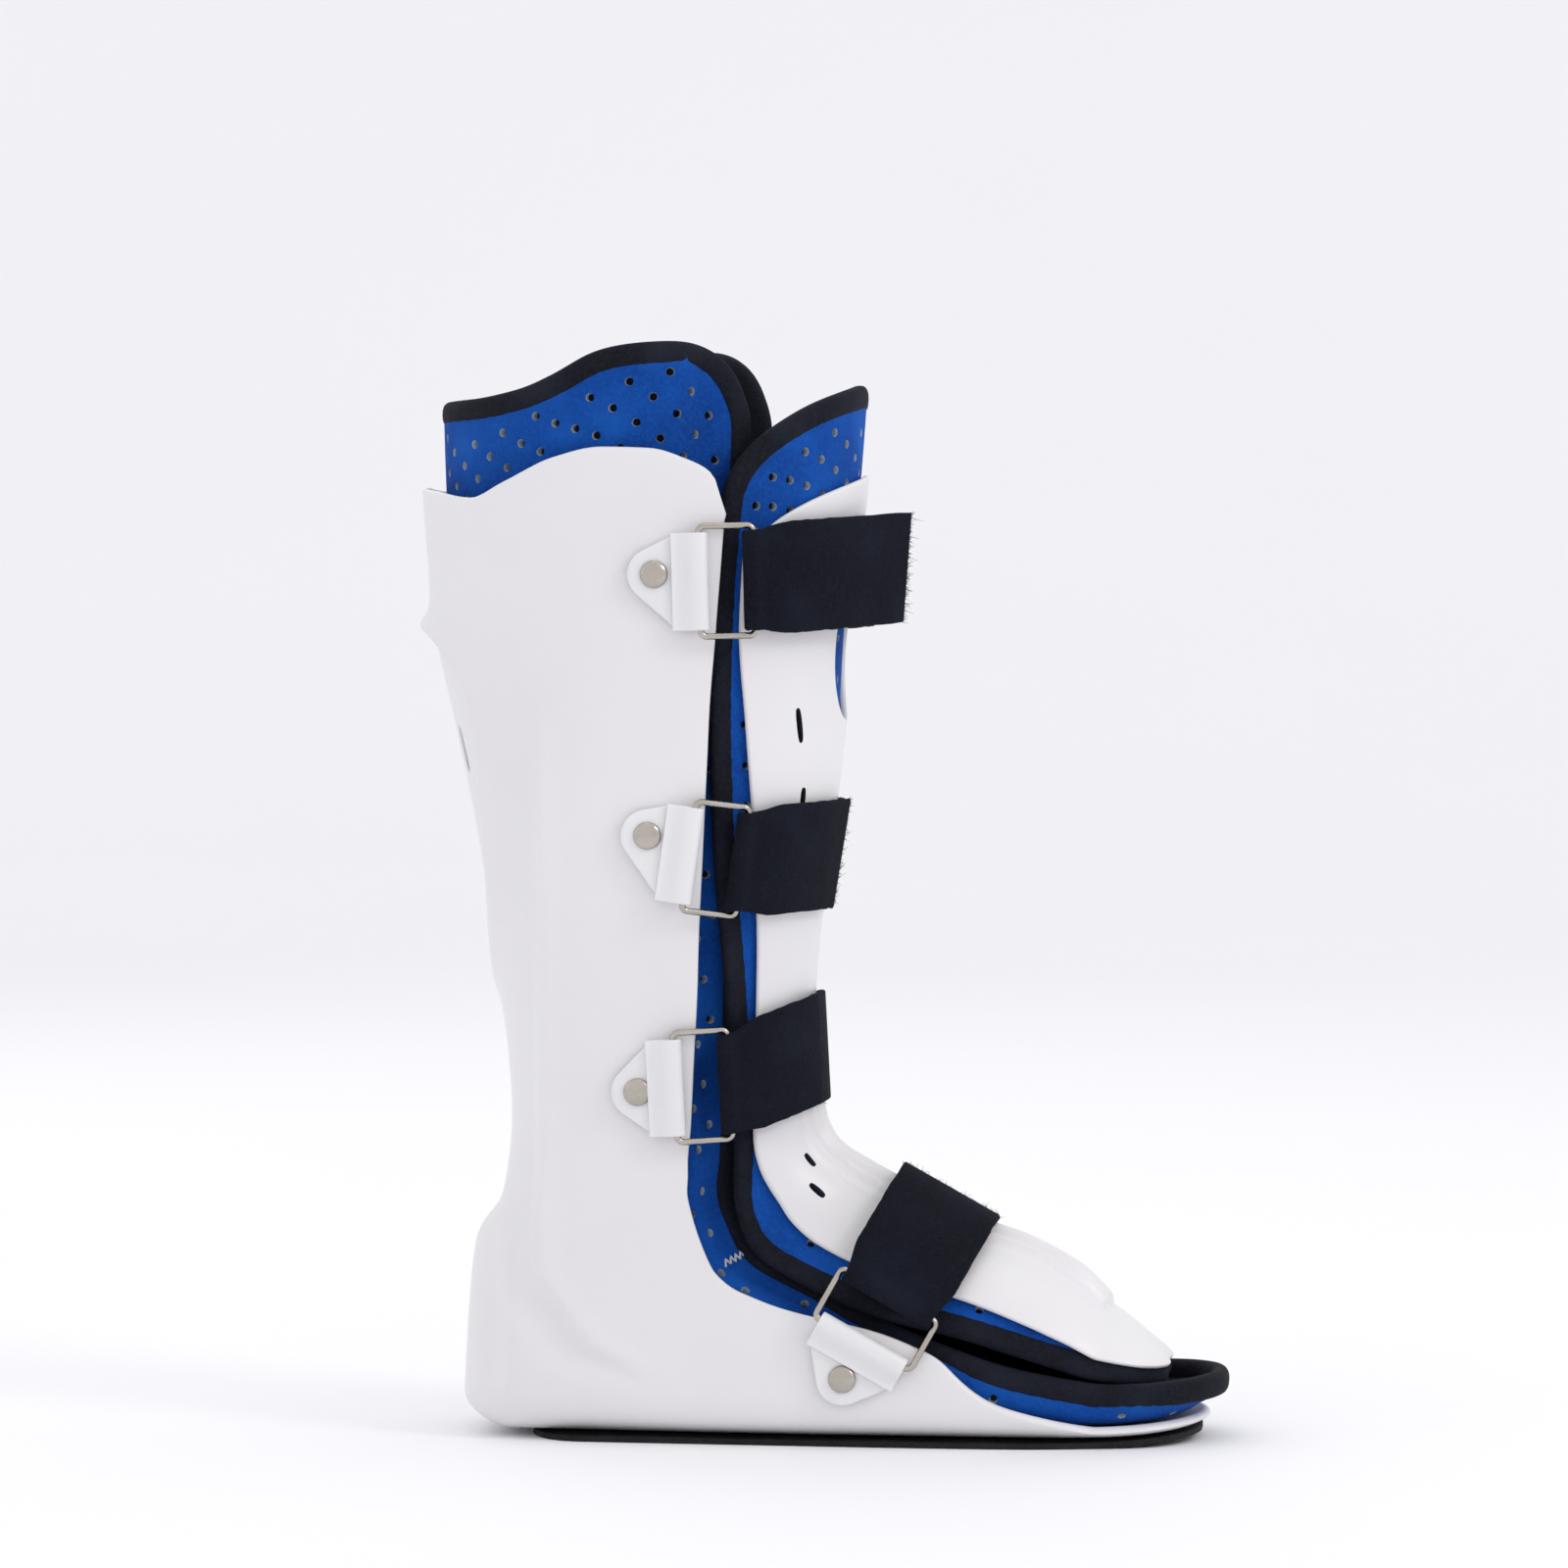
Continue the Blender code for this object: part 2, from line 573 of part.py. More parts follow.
def binding(outer, inner, extra):
    """Rings of a padded edge, round the free edge of a layer and its far side."""
    near = list(zip(edge_of(outer), edge_of(inner)))
    loop = near + [(mirrored(a), mirrored(b)) for a, b in reversed(near[1:-1])]
    middles = [(a + b) / 2 for a, b in loop]
    keep = [0]
    for i in range(1, len(loop)):
        if (middles[i] - middles[keep[-1]]).length > BINDING_WIDTH:
            keep.append(i)
    if (middles[keep[-1]] - middles[0]).length < BINDING_WIDTH / 2:
        keep.pop()
    rings = []
    for i, k in enumerate(keep):
        before = middles[keep[i - 1]]
        after = middles[keep[(i + 1) % len(keep)]]
        run = (after - before).normalized()
        out = loop[k][0] - loop[k][1]
        half_thick = out.length / 2 + BINDING_PROUD + extra
        out = (out - run * out.dot(run)).normalized()
        side = run.cross(out)
        half_wide = BINDING_WIDTH / 2 + extra
        rings.append([middles[k] + side * (u * half_wide) + out * (v * half_thick)
                      for u, v in BINDING_SECTION])
    return rings


def cut(target, cutter):
    """Take a cutter's shape out of an object, for good."""
    cutter.hide_render = True
    cutter.display_type = "WIRE"
    hole = target.modifiers.new("hole", "BOOLEAN")
    hole.operation = "DIFFERENCE"
    hole.object = cutter
    hole.solver = "EXACT"
    graph = bpy.context.evaluated_depsgraph_get()
    mesh = bpy.data.meshes.new_from_object(target.evaluated_get(graph))
    target.modifiers.remove(hole)
    target.data = mesh
    bpy.data.objects.remove(cutter)


HEEL_STATIONS = [0.03, 0.08, 0.125, 0.18, 0.25, 0.31, 0.36, 0.46, 0.58, 0.70, 0.80, 0.90, 1.0]
TONGUE_FOOT_STATIONS = [0.08, 0.20, 0.34, 0.50, 0.65, 0.80, 1.0]
TOE_STATIONS = [1.0 + TOE_PATH * share for share in (0.25, 0.5, 0.75, 1.0)]


def leg_stations(*levels):
    return [-level for level in levels]


RIM_FADE = 0.72
TONGUE_RIM_FADE = 0.80
SHELL_STATIONS = (leg_stations(1.0, 0.93, 0.86, 0.825, 0.797, 0.765, 0.70, 0.60, 0.49, 0.38,
                               0.28, 0.21, 0.15, 0.07) + HEEL_STATIONS + TOE_STATIONS)
SHELL_ACROSS = (0.0, 0.11, 0.21, 0.30, 0.38, 0.47, 0.58, 0.71, 0.84, 0.94, 1.0)
LINER_STATIONS = (leg_stations(LINER_TOP, 1.04, 0.93, 0.80, 0.65, 0.49, 0.33, 0.18, 0.07)
                  + HEEL_STATIONS + TOE_STATIONS)
LINER_ACROSS = (0.0, 0.16, 0.31, 0.45, 0.58, 0.71, 0.83, 0.93, 1.0)
TONGUE_STATIONS = (leg_stations(TONGUE_TOP, 1.04, 0.90, 0.72, 0.53, 0.35, 0.18, 0.05)
                   + TONGUE_FOOT_STATIONS + TOE_STATIONS)
TONGUE_ACROSS = (0.0, 0.22, 0.43, 0.63, 0.82, 1.0)
PLATE_STATIONS = (leg_stations(PLATE_TOP, 0.90, 0.72, 0.53, 0.35, 0.18, 0.05)
                  + TONGUE_FOOT_STATIONS + TOE_STATIONS)
PLATE_ACROSS = (0.0, 0.25, 0.49, 0.72, 0.88, 1.0)


def layer_grids(stations, across, inset, thick, ends, rim, top, fade, raised=None,
                rounder=1.0):
    """Outer and inner half grids of one layer."""
    shape = {"rim": rim, "top": -top, "fade": -fade, "raised": raised, "rounder": rounder}
    outer = grid(stations, across, inset, ends, **shape)
    shape["raised"] = None
    inner = grid(stations, across, deeper(inset, thick), ends, **shape)
    return outer, inner


def make_shell():
    outer, inner = layer_grids(SHELL_STATIONS, SHELL_ACROSS, shell_inset, SHELL_WALL,
                               from_back("shell"), SHELL_RIM, 1.0, RIM_FADE, relief)
    shell = add_object("rear_shell", wall(outer, inner), "plastic")
    for side in (-1.0, 1.0):
        vent = bmesh.new()
        bmesh.ops.create_cone(vent, cap_ends=True, segments=ROUND_SIDES, radius1=0.5, radius2=0.5,
                              depth=1.0)
        bmesh.ops.scale(vent, verts=vent.verts, vec=(VENT_LENGTH, VENT_WIDTH, CALF_DEPTH / 4))
        level = ANKLE_HEIGHT + VENT_LEVEL * LEG_RISE
        cutter = add_object("vent", vent, "plastic", smooth=False)
        cutter.rotation_euler = (0.0, math.radians(90.0), 0.0)
        cutter.location = (CURVES["back_x"](-VENT_LEVEL), side * VENT_SPREAD, level)
        bpy.context.view_layer.update()
        cut(shell, cutter)
    return shell, outer


def make_layer(name, stations, across, inset, thick, ends, rim, top, fade, rounder=1.0):
    """A foam layer and the padded edge round it."""
    outer, inner = layer_grids(stations, across, inset, thick, ends, rim, top, fade,
                               rounder=rounder)
    foam = add_object(name, wall(outer, inner), "foam")
    cutter = add_object("edge", tube_between(binding(outer, inner, 2 * GAP)), "binding")
    cut(foam, cutter)
    edge = add_object(name + "_binding", tube_between(binding(outer, inner, 0.0)),
                      "binding")
    return foam, edge


def make_plate():
    outer, inner = layer_grids(PLATE_STATIONS, PLATE_ACROSS, plate_inset, PLATE_WALL,
                               from_front("plate"), PLATE_RIM, PLATE_TOP, RIM_FADE)
    plate = add_object("front_shell", wall(outer, inner), "plastic")
    window = bmesh.new()
    bmesh.ops.create_cone(window, cap_ends=True, segments=2 * ROUND_SIDES, radius1=0.5,
                          radius2=0.5, depth=1.0)
    bmesh.ops.scale(window, verts=window.verts, vec=(WINDOW_HEIGHT, WINDOW_WIDTH, CALF_DEPTH / 2))
    cutter = add_object("window", window, "plastic", smooth=False)
    cutter.rotation_euler = (0.0, math.radians(90.0), 0.0)
    cutter.location = (CURVES["front_x"](-WINDOW_LEVEL), 0.0,
                       ANKLE_HEIGHT + WINDOW_LEVEL * LEG_RISE)
    bpy.context.view_layer.update()
    cut(plate, cutter)
    cut_slits(plate)
    return plate


def cut_slits(plate):
    """Short slots through the plate's wall, the same on both sides."""
    tree = BVHTree.FromPolygons([vertex.co for vertex in plate.data.vertices],
                                [face.vertices for face in plate.data.polygons])
    for x, z, length, lean_back in SLITS:
        start = Vector((x * SOLE_LENGTH, -CALF_WIDTH, z * SHELL_HEIGHT))
        point, normal = tree.ray_cast(start, Vector((0.0, 1.0, 0.0)))[:2]
        turn = math.radians(lean_back)
        along = Vector((-math.sin(turn), 0.0, math.cos(turn)))
        along = (along - normal * along.dot(normal)).normalized()
        side = along.cross(normal)
        near = [[point + normal * depth + along * (u * length / 2) + side * (v * SLIT_WIDTH / 2)
                 for u, v in ((1, 1), (1, -1), (-1, -1), (-1, 1))]
                for depth in (-2 * PLATE_WALL, 2 * PLATE_WALL)]
        far = [[mirrored(corner) for corner in ring] for ring in near]
        for rings in (near, far):
            slot = tube_between(rings, closed=False, caps=True)
            cut(plate, add_object("slit", slot, "plastic", smooth=False))


def hull(points):
    """Convex hull of 2D points, counter-clockwise."""
    ordered = sorted(set((round(p[0], 7), round(p[1], 7)) for p in points))

    def chain(sequence):
        kept = []
        for p in sequence:
            while len(kept) > 1 and ((kept[-1][0] - kept[-2][0]) * (p[1] - kept[-2][1])
                                     - (kept[-1][1] - kept[-2][1]) * (p[0] - kept[-2][0])) <= 0:
                kept.pop()
            kept.append(p)
        return kept[:-1]

    return [Vector(p) for p in chain(ordered) + chain(reversed(ordered))]


def make_outsole(shell_outer):
    """A flat tread under the shell, bent up with its toe."""
    low = [p for row in shell_outer for p in row if p.z < BASE + TOE_SPRING + LIP_HEIGHT]
    ring = hull([(p.x, side * p.y) for p in low for side in (1.0, -1.0)])
    edge = [point * (1.0 - OUTSOLE_INSET / point.length) for point in ring]
    front = max(point.x for point in edge)
    back = min(point.x for point in edge)
    xs = [back + step for step in SOLE_FROM_HEEL] + [0.0]
    xs += [SPRING_START + step for step in SOLE_FROM_SPRING]
    xs += [front - step for step in SOLE_FROM_TIP]

    def half_at(x):
        best = 0.0
        for a, b in zip(edge, edge[1:] + edge[:1]):
            if min(a.x, b.x) <= x <= max(a.x, b.x) and a.x != b.x:
                best = max(best, abs(a.y + (x - a.x) / (b.x - a.x) * (b.y - a.y)))
        return best

    rings = []
    for x in xs:
        half = max(SOLE_END_HALF, half_at(x))
        spring = toe_spring(x)
        rings.append([Vector((x, half, spring)), Vector((x, half, spring + OUTSOLE)),
                      Vector((x, -half, spring + OUTSOLE)), Vector((x, -half, spring))])
    return add_object("outsole", tube_between(rings, closed=False, caps=True), "rubber",
                      smooth=False)


def form_tree(shell_outer):
    """The shell's outer face, carried on past its edge, for seating the fittings."""
    rest = grid(SHELL_STATIONS, (1.0, 0.75, 0.5, 0.25, 0.0), shell_inset,
                from_front("shell"), SHELL_RIM, -1.0, -RIM_FADE)
    points = []
    faces = []
    rows = [near + list(past)[1:] for near, past in zip(shell_outer, rest)]
    count = len(rows[0])
    for row in rows:
        points.extend(row)
    for i in range(len(rows) - 1):
        for j in range(count - 1):
            k = i * count + j
            faces.append((k, k + 1, k + count + 1, k + count))
    return BVHTree.FromPolygons(points, faces)


def seat(tree, x, z):
    """The near face's point at a place in the side view."""
    return tree.ray_cast(Vector((x, -CALF_WIDTH, z)), Vector((0.0, 1.0, 0.0)))[0]


class Fitting:
    """Where one strap's ring, tab and rivet sit on the near side."""

    def __init__(self, values, tree):
        for name, value in zip(STRAP_COLUMNS, values):
            setattr(self, name, value)
        tilt = math.radians(self.tilt)
        self.tree = tree
        self.centre = Vector((self.x * SOLE_LENGTH, 0.0, self.z * SHELL_HEIGHT))
        self.up = Vector((math.sin(tilt), 0.0, math.cos(tilt)))
        self.ahead = Vector((math.cos(tilt), 0.0, -math.sin(tilt)))
        self.bar_height = GAP + TAB_THICK + 2 * GAP + WIRE / 2
        bar = self.on_shell(0.0, 0.0)
        rivet = self.on_shell(-self.rivet, self.rivet_up)
        run = bar - rivet
        self.run = (run - self.up * run.dot(self.up)).normalized()
        self.normal = self.run.cross(self.up)
        if self.normal.y > 0.0:
            self.normal = -self.normal
        reach = self.rivet + TAB_END_RADIUS
        proud = max((self.on_shell(WIRE - reach * i / 6, TAB_WIDTH / 2 * j / 3) - bar).dot(self.normal)
                    for i in range(7) for j in range(-3, 4)
                    if abs(TAB_WIDTH / 2 * j / 3) <= tab_half_width(self, WIRE - reach * i / 6) + WIRE)
        self.foot = bar + self.normal * proud
        self.bar = self.foot + self.normal * self.bar_height

    def on_shell(self, ahead, up):
        spot = self.centre + self.ahead * ahead + self.up * up
        return seat(self.tree, spot.x, spot.z)

    def spot(self, ahead, up, height):
        """A point in the fitting's own flat frame, on the near side."""
        return self.foot + self.run * ahead + self.up * up + self.normal * height


def tab_half_width(fitting, ahead):
    """Half the tab's width: round at the rivet, widening to the ring's bar."""
    away = ahead + fitting.rivet
    if away < 0.0:
        inside = max(0.0, TAB_END_RADIUS ** 2 - away ** 2)
        return max(0.25 * TAB_END_RADIUS, math.sqrt(inside))
    share = min(1.0, away / (fitting.rivet - TAB_FOLD))
    return TAB_END_RADIUS + share * (TAB_WIDTH / 2 - TAB_END_RADIUS)


def make_tab(fitting, side_name, side):
    """A strip riveted flat on the shell, folded round the ring's bar."""
    bend = WIRE / 2 + 2 * GAP + TAB_THICK / 2
    low = GAP + TAB_THICK / 2
    end = -fitting.rivet - TAB_END_RADIUS
    route = [(end + share * TAB_END_RADIUS, low) for share in TAB_END_SHARES]
    route += [(-fitting.rivet, low), (-TAB_FOLD, low), (0.0, low)]
    for angle in (-45.0, 0.0, 45.0):
        turn = math.radians(angle)
        route.append((bend * math.cos(turn), fitting.bar_height + bend * math.sin(turn)))
    route += [((share - 1.0) * TAB_FOLD, fitting.bar_height + height * bend)
              for share, height in TAB_RETURN]
    route.append((-TAB_FOLD, low + TAB_THICK + GAP))
    first_flat = len(TAB_END_SHARES) + 1
    rings = []
    for i, (ahead, height) in enumerate(route):
        before = route[max(0, i - 1)]
        after = route[min(len(route) - 1, i + 1)]
        run = Vector((after[0] - before[0], after[1] - before[1])).normalized()
        half = tab_half_width(fitting, ahead if i < first_flat else -TAB_FOLD)
        lean_up = fitting.rivet_up * min(1.0, max(0.0, -ahead - TAB_FOLD)
                                         / (fitting.rivet - TAB_FOLD))
        shift = Vector((-run.y, run.x)) * (TAB_THICK / 2)
        rings.append([fitting.spot(ahead + thick * shift.x, lean_up + across * half,
                                   height + thick * shift.y)
                      for across, thick in ((1, 1), (1, -1), (-1, -1), (-1, 1))])
    made = tube_between(rings, closed=False, caps=True)
    if side > 0:
        bmesh.ops.scale(made, verts=made.verts, vec=(1.0, -1.0, 1.0))
    return add_object(f"tab_{fitting.name}_{side_name}", made, "plastic")


def ring_direction(fitting, tip):
    """Unit run of a ring from its held bar to its free bar."""
    run = tip - fitting.bar
    run = run - fitting.up * run.dot(fitting.up)
    return run.normalized()


def make_ring(fitting, tip, side_name, side):
    """A bent wire loop, its held bar in the tab and its free bar in the strap."""
    run = ring_direction(fitting, tip)
    out = fitting.up.cross(run)
    half = RING_WIDTH / 2
    corner = RING_CORNER
    path = []
    for sign_run, sign_up in ((1, 1), (0, 1), (0, -1), (1, -1)):
        centre_run = RING_DEPTH - corner if sign_run else corner
        centre_up = sign_up * (half - corner)
        start = {(1, 1): 0.0, (0, 1): 90.0, (0, -1): 180.0, (1, -1): 270.0}[(sign_run, sign_up)]
        for turn_by in (15.0, 75.0):
            turn = math.radians(start + turn_by)
            path.append(fitting.bar + run * (centre_run + corner * math.cos(turn))
                        + fitting.up * (centre_up + corner * math.sin(turn)))
    rings = []
    for i, point in enumerate(path):
        along = (path[(i + 1) % len(path)] - path[i - 1]).normalized()
        inward = along.cross(out).normalized()
        rings.append([point + (inward * math.cos(turn) + out * math.sin(turn)) * (WIRE / 2)
                      for turn in (2 * math.pi * k / WIRE_SIDES for k in range(WIRE_SIDES))])
    made = tube_between(rings)
    if side > 0:
        bmesh.ops.scale(made, verts=made.verts, vec=(1.0, -1.0, 1.0))
    return add_object(f"ring_{fitting.name}_{side_name}", made, "nickel")


def make_rivet(fitting, side_name, side, parts):
    """A domed head on the tab, its shank through the tab and the shell's wall."""
    point = fitting.spot(-fitting.rivet, fitting.rivet_up, 0.0)
    seat_height = GAP + TAB_THICK + GAP
    turned = fitting.normal.to_track_quat("Z", "Y")
    shank = RIVET_SHANK / 2
    head = RIVET_HEAD / 2
    profile = ((shank, -SHELL_WALL), (shank, seat_height), (head, seat_height),
               (head * 0.6, seat_height + RIVET_DOME))

    def turned_rings(outline_points):
        return [[point + turned @ Vector((radius * math.cos(2 * math.pi * k / ROUND_SIDES),
                                          radius * math.sin(2 * math.pi * k / ROUND_SIDES), height))
                 for k in range(ROUND_SIDES)] for radius, height in outline_points]

    made = tube_between(turned_rings(profile), closed=False, caps=True)
    drill = tube_between(turned_rings(((shank + GAP, -2 * SHELL_WALL), (shank + GAP, RIVET_HEAD))),
                         closed=False, caps=True)
    if side > 0:
        for each in (made, drill):
            bmesh.ops.scale(each, verts=each.verts, vec=(1.0, -1.0, 1.0))
    cutter = add_object("drill", drill, "nickel")
    for target in parts:
        copy = cutter.copy()
        bpy.context.scene.collection.objects.link(copy)
        cut(target, copy)
    bpy.data.objects.remove(cutter)
    return add_object(f"rivet_{fitting.name}_{side_name}", made, "nickel")


def band_points(objects, fitting):
    """What lies under a strap's band, as (ahead, out) points."""
    limit = STRAP_WIDTH / 2 + BAND_MARGIN
    points = []
    for each in objects:
        mesh = each.data
        spots = []
        for vertex in mesh.vertices:
            offset = vertex.co - fitting.centre
            ahead = offset.dot(fitting.ahead)
            climb = fitting.rise * max(0.0, ahead - RING_DEPTH)
            spots.append((ahead, vertex.co.y, offset.dot(fitting.up) - climb))
        for edge in mesh.edges:
            a, b = (spots[k] for k in edge.vertices)
            if a[2] > b[2]:
                a, b = b, a
            if b[2] < -limit or a[2] > limit:
                continue
            span = b[2] - a[2]
            low = max(0.0, (-limit - a[2]) / span) if span > 0.0 else 0.0
            high = min(1.0, (limit - a[2]) / span) if span > 0.0 else 1.0
            for part in (low, high):
                points.append((a[0] + part * (b[0] - a[0]), a[1] + part * (b[1] - a[1])))
    return [p for p in points if p[0] > 0.0]


def swollen(points, amount):
    """Points pushed out by a round margin."""
    turns = [2 * math.pi * k / SWELL_SIDES for k in range(SWELL_SIDES)]
    amount /= math.cos(math.pi / SWELL_SIDES)
    return [(p[0] + amount * math.cos(t), p[1] + amount * math.sin(t))
            for p in hull(points) for t in turns]


def front_chain(points, start):
    """The hull from a point on the near side, round the front, to its mirror."""
    ring = hull(list(points) + [(start.x, start.y), (start.x, -start.y)])
    first = min(range(len(ring)), key=lambda k: (ring[k] - start).length)
    chain = []
    for k in range(len(ring)):
        point = ring[(first + k) % len(ring)]
        chain.append(point)
        if k and (point - Vector((start.x, -start.y))).length < 1e-6:
            break
    return chain


def thin_out(chain, tolerance):
    """Drop the points that a chord can stand for."""
    if len(chain) < 3:
        return chain
    first, last = chain[0], chain[-1]
    run = last - first
    aways = [abs(run.cross(point - first)) / run.length for point in chain]
    worst = max(range(len(chain)), key=lambda k: aways[k])
    if aways[worst] < tolerance:
        return [first, last]
    return thin_out(chain[:worst + 1], tolerance)[:-1] + thin_out(chain[worst:], tolerance)


def walk(chain, distance):
    """The first part of a chain, up to a length."""
    kept = [chain[0]]
    left = distance
    for first, second in zip(chain, chain[1:]):
        span = (second - first).length
        if span >= left:
            kept.append(first + (second - first) * (left / span))
            return kept
        kept.append(second)
        left -= span
    return kept


def offset_chain(chain, amount):
    """A chain moved to its outer side, on the right of its run."""
    moved = []
    for i, point in enumerate(chain):
        before = chain[max(0, i - 1)]
        after = chain[min(len(chain) - 1, i + 1)]
        run = (after - before).normalized()
        moved.append(point + Vector((run.y, -run.x)) * amount)
    return moved


def strap_route(fitting, under):
    """The strap's middle line in its own plane, and the ring's free bar."""
    bar = Vector(((fitting.bar - fitting.centre).dot(fitting.ahead), fitting.bar.y))
    wrap = WIRE / 2 + 2 * GAP + STRAP_THICK / 2
    inner_gap = STRAP_GAP + STRAP_THICK / 2
    taut = front_chain(swollen(under, inner_gap + wrap), bar)
    tip = walk(taut, RING_DEPTH)[-1]
    run = (tip - bar).normalized()
    tip = bar + run * RING_DEPTH
    outward = Vector((run.y, -run.x))
    inner_start = tip - outward * wrap
    inner = thin_out(front_chain(swollen(under, inner_gap), inner_start), CHORD_ERROR)
    lap = walk(offset_chain(inner, STRAP_THICK + LAP_GAP), fitting.straight)
    free = lap[1:] if len(lap) > 2 else lap
    if fitting.lap > fitting.straight:
        last = (lap[-1] - lap[-2]).normalized()
        free = free + [lap[-1] + last * (fitting.lap - fitting.straight)]
    back = walk(offset_chain(inner, STRAP_THICK + LAP_GAP), FAR_LAP)[1:]
    around = []
    for step in range(1, 6):
        turn = math.pi * step / 6
        around.append(tip - outward * (wrap * math.cos(turn)) - run * (wrap * math.sin(turn)))
    outer_start = tip + outward * wrap
    near_half = list(reversed(free)) + [outer_start] + list(reversed(around))

    def flip(points):
        return [Vector((p.x, -p.y)) for p in points]

    far_half = flip(around) + flip([outer_start]) + flip(back)
    return near_half + inner + far_half, tip


def make_strap(fitting, under):
    """One band round both rings, folded back on itself on the near side."""
    route, tip = strap_route(fitting, under)
    rings = []
    for i, point in enumerate(route):
        before = (point - route[i - 1]).normalized() if i else None
        after = (route[i + 1] - point).normalized() if i < len(route) - 1 else None
        runs = [run for run in (before, after) if run]
        run = sum(runs, Vector((0.0, 0.0))).normalized()
        out = Vector((run.y, -run.x))
        stretch = 1.0 / max(LEAST_BEND, run.dot(runs[0]))
        ring = []
        for across, thick in ((1, 1), (1, -1), (-1, -1), (-1, 1)):
            spot = point + out * (thick * STRAP_THICK / 2 * stretch)
            lift = across * STRAP_WIDTH / 2 + fitting.rise * max(0.0, point.x - tip.x)
            ring.append(Vector((0.0, spot.y, 0.0)) + fitting.centre + fitting.ahead * spot.x
                        + fitting.up * lift)
        rings.append(ring)
    strap = add_object(f"strap_{fitting.name}", tube_between(rings, closed=False, caps=True),
                       "strap")
    free_bar = fitting.centre + fitting.ahead * tip.x + Vector((0.0, tip.y, 0.0))
    return strap, free_bar


def clear_scene():
    for each in list(bpy.data.objects):
        bpy.data.objects.remove(each)


def main():
    clear_scene()
    shell, shell_outer = make_shell()
    make_outsole(shell_outer)
    make_layer("rear_liner", LINER_STATIONS, LINER_ACROSS, liner_inset, FOAM,
               from_back("liner"), LINER_RIM, LINER_TOP, RIM_FADE, rounder=LINER_ROUNDER)
    tongue = make_layer("front_liner", TONGUE_STATIONS, TONGUE_ACROSS, tongue_inset, TONGUE_FOAM,
                        from_front("tongue"), TONGUE_RIM, TONGUE_TOP, TONGUE_RIM_FADE)
    plate = make_plate()
    tree = form_tree(shell_outer)
    for values in STRAPS:
        fitting = Fitting(values, tree)
        under = band_points([shell, plate, *tongue], fitting)
        strap, free_bar = make_strap(fitting, under)
        for side_name, side in (("near", -1.0), ("far", 1.0)):
            tab = make_tab(fitting, side_name, side)
            make_ring(fitting, free_bar, side_name, side)
            make_rivet(fitting, side_name, side, (tab, shell))


main()
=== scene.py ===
"""Looks of the walking boot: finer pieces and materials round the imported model.

Metres, +Z up, toes to +X. The section tables are the model's own, and every layer is
lofted through them again with more points, then perforated, ribbed and finished.
"""
import math
import random

import bmesh
import bpy
import numpy as np
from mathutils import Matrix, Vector
from mathutils.bvhtree import BVHTree
from mathutils.geometry import delaunay_2d_cdt
from mathutils.kdtree import KDTree


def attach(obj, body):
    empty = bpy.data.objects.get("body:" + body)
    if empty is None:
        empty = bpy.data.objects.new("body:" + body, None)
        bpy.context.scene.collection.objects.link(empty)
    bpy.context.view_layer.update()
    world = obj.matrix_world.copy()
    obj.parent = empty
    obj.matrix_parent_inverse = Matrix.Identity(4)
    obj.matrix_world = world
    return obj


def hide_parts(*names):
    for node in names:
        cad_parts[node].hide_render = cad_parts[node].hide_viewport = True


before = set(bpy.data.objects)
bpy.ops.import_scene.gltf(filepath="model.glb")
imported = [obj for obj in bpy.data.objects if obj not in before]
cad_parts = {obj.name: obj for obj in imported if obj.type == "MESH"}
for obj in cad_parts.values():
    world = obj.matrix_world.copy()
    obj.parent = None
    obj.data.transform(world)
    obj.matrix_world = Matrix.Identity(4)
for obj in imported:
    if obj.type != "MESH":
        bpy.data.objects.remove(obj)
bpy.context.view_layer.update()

SOLE_LENGTH = 0.276
ANKLE_HEIGHT = 0.115
SHELL_HEIGHT = 0.346
CALF_DEPTH = 0.164
CALF_WIDTH = 0.124
FOOT_WIDTH = 0.098
LEG_SETBACK = 0.050
SHELL_WALL = 0.003
PLATE_WALL = 0.0022
FOAM = 0.005
TONGUE_FOAM = 0.0045
BINDING_WIDTH = 0.009
BINDING_PROUD = 0.00075
GAP = 0.0003
LAYER_GAP = 0.0009
TUCK_GAP = 0.0019
LINER_SLACK = 0.0045
LINER_SIDE_GAP = 0.0024
LINER_ROUNDER = 0.80
TUCK_LENGTH = 0.014
LIP_HEIGHT = 0.0045
OUTSOLE = 0.002
OUTSOLE_INSET = 0.0025
HEEL_SHARE = 0.406
TOE_SPRING = 0.0036
SPRING_START = 0.105
RIM_ROLL = 0.0045
PANEL_DEPTH = 0.0012
SIDE_STEP = 0.0016
SIDE_STEP_WIDTH = 0.007
WINDOW_HEIGHT = 0.052
WINDOW_WIDTH = 0.040
WINDOW_LEVEL = 0.75
SLIT_WIDTH = 0.0027
VENT_LEVEL = 0.591
STRAP_WIDTH = 0.036
STRAP_THICK = 0.0022
STRAP_GAP = 0.0007
LAP_GAP = 0.0004
WIRE = 0.0024
RING_WIDTH = 0.0395
RING_DEPTH = 0.020
RING_CORNER = 0.0022
TAB_WIDTH = 0.0350
TAB_THICK = 0.0015
TAB_FOLD = 0.008
TAB_END_RADIUS = 0.0095
RIVET_HEAD = 0.010
RIVET_DOME = 0.0022

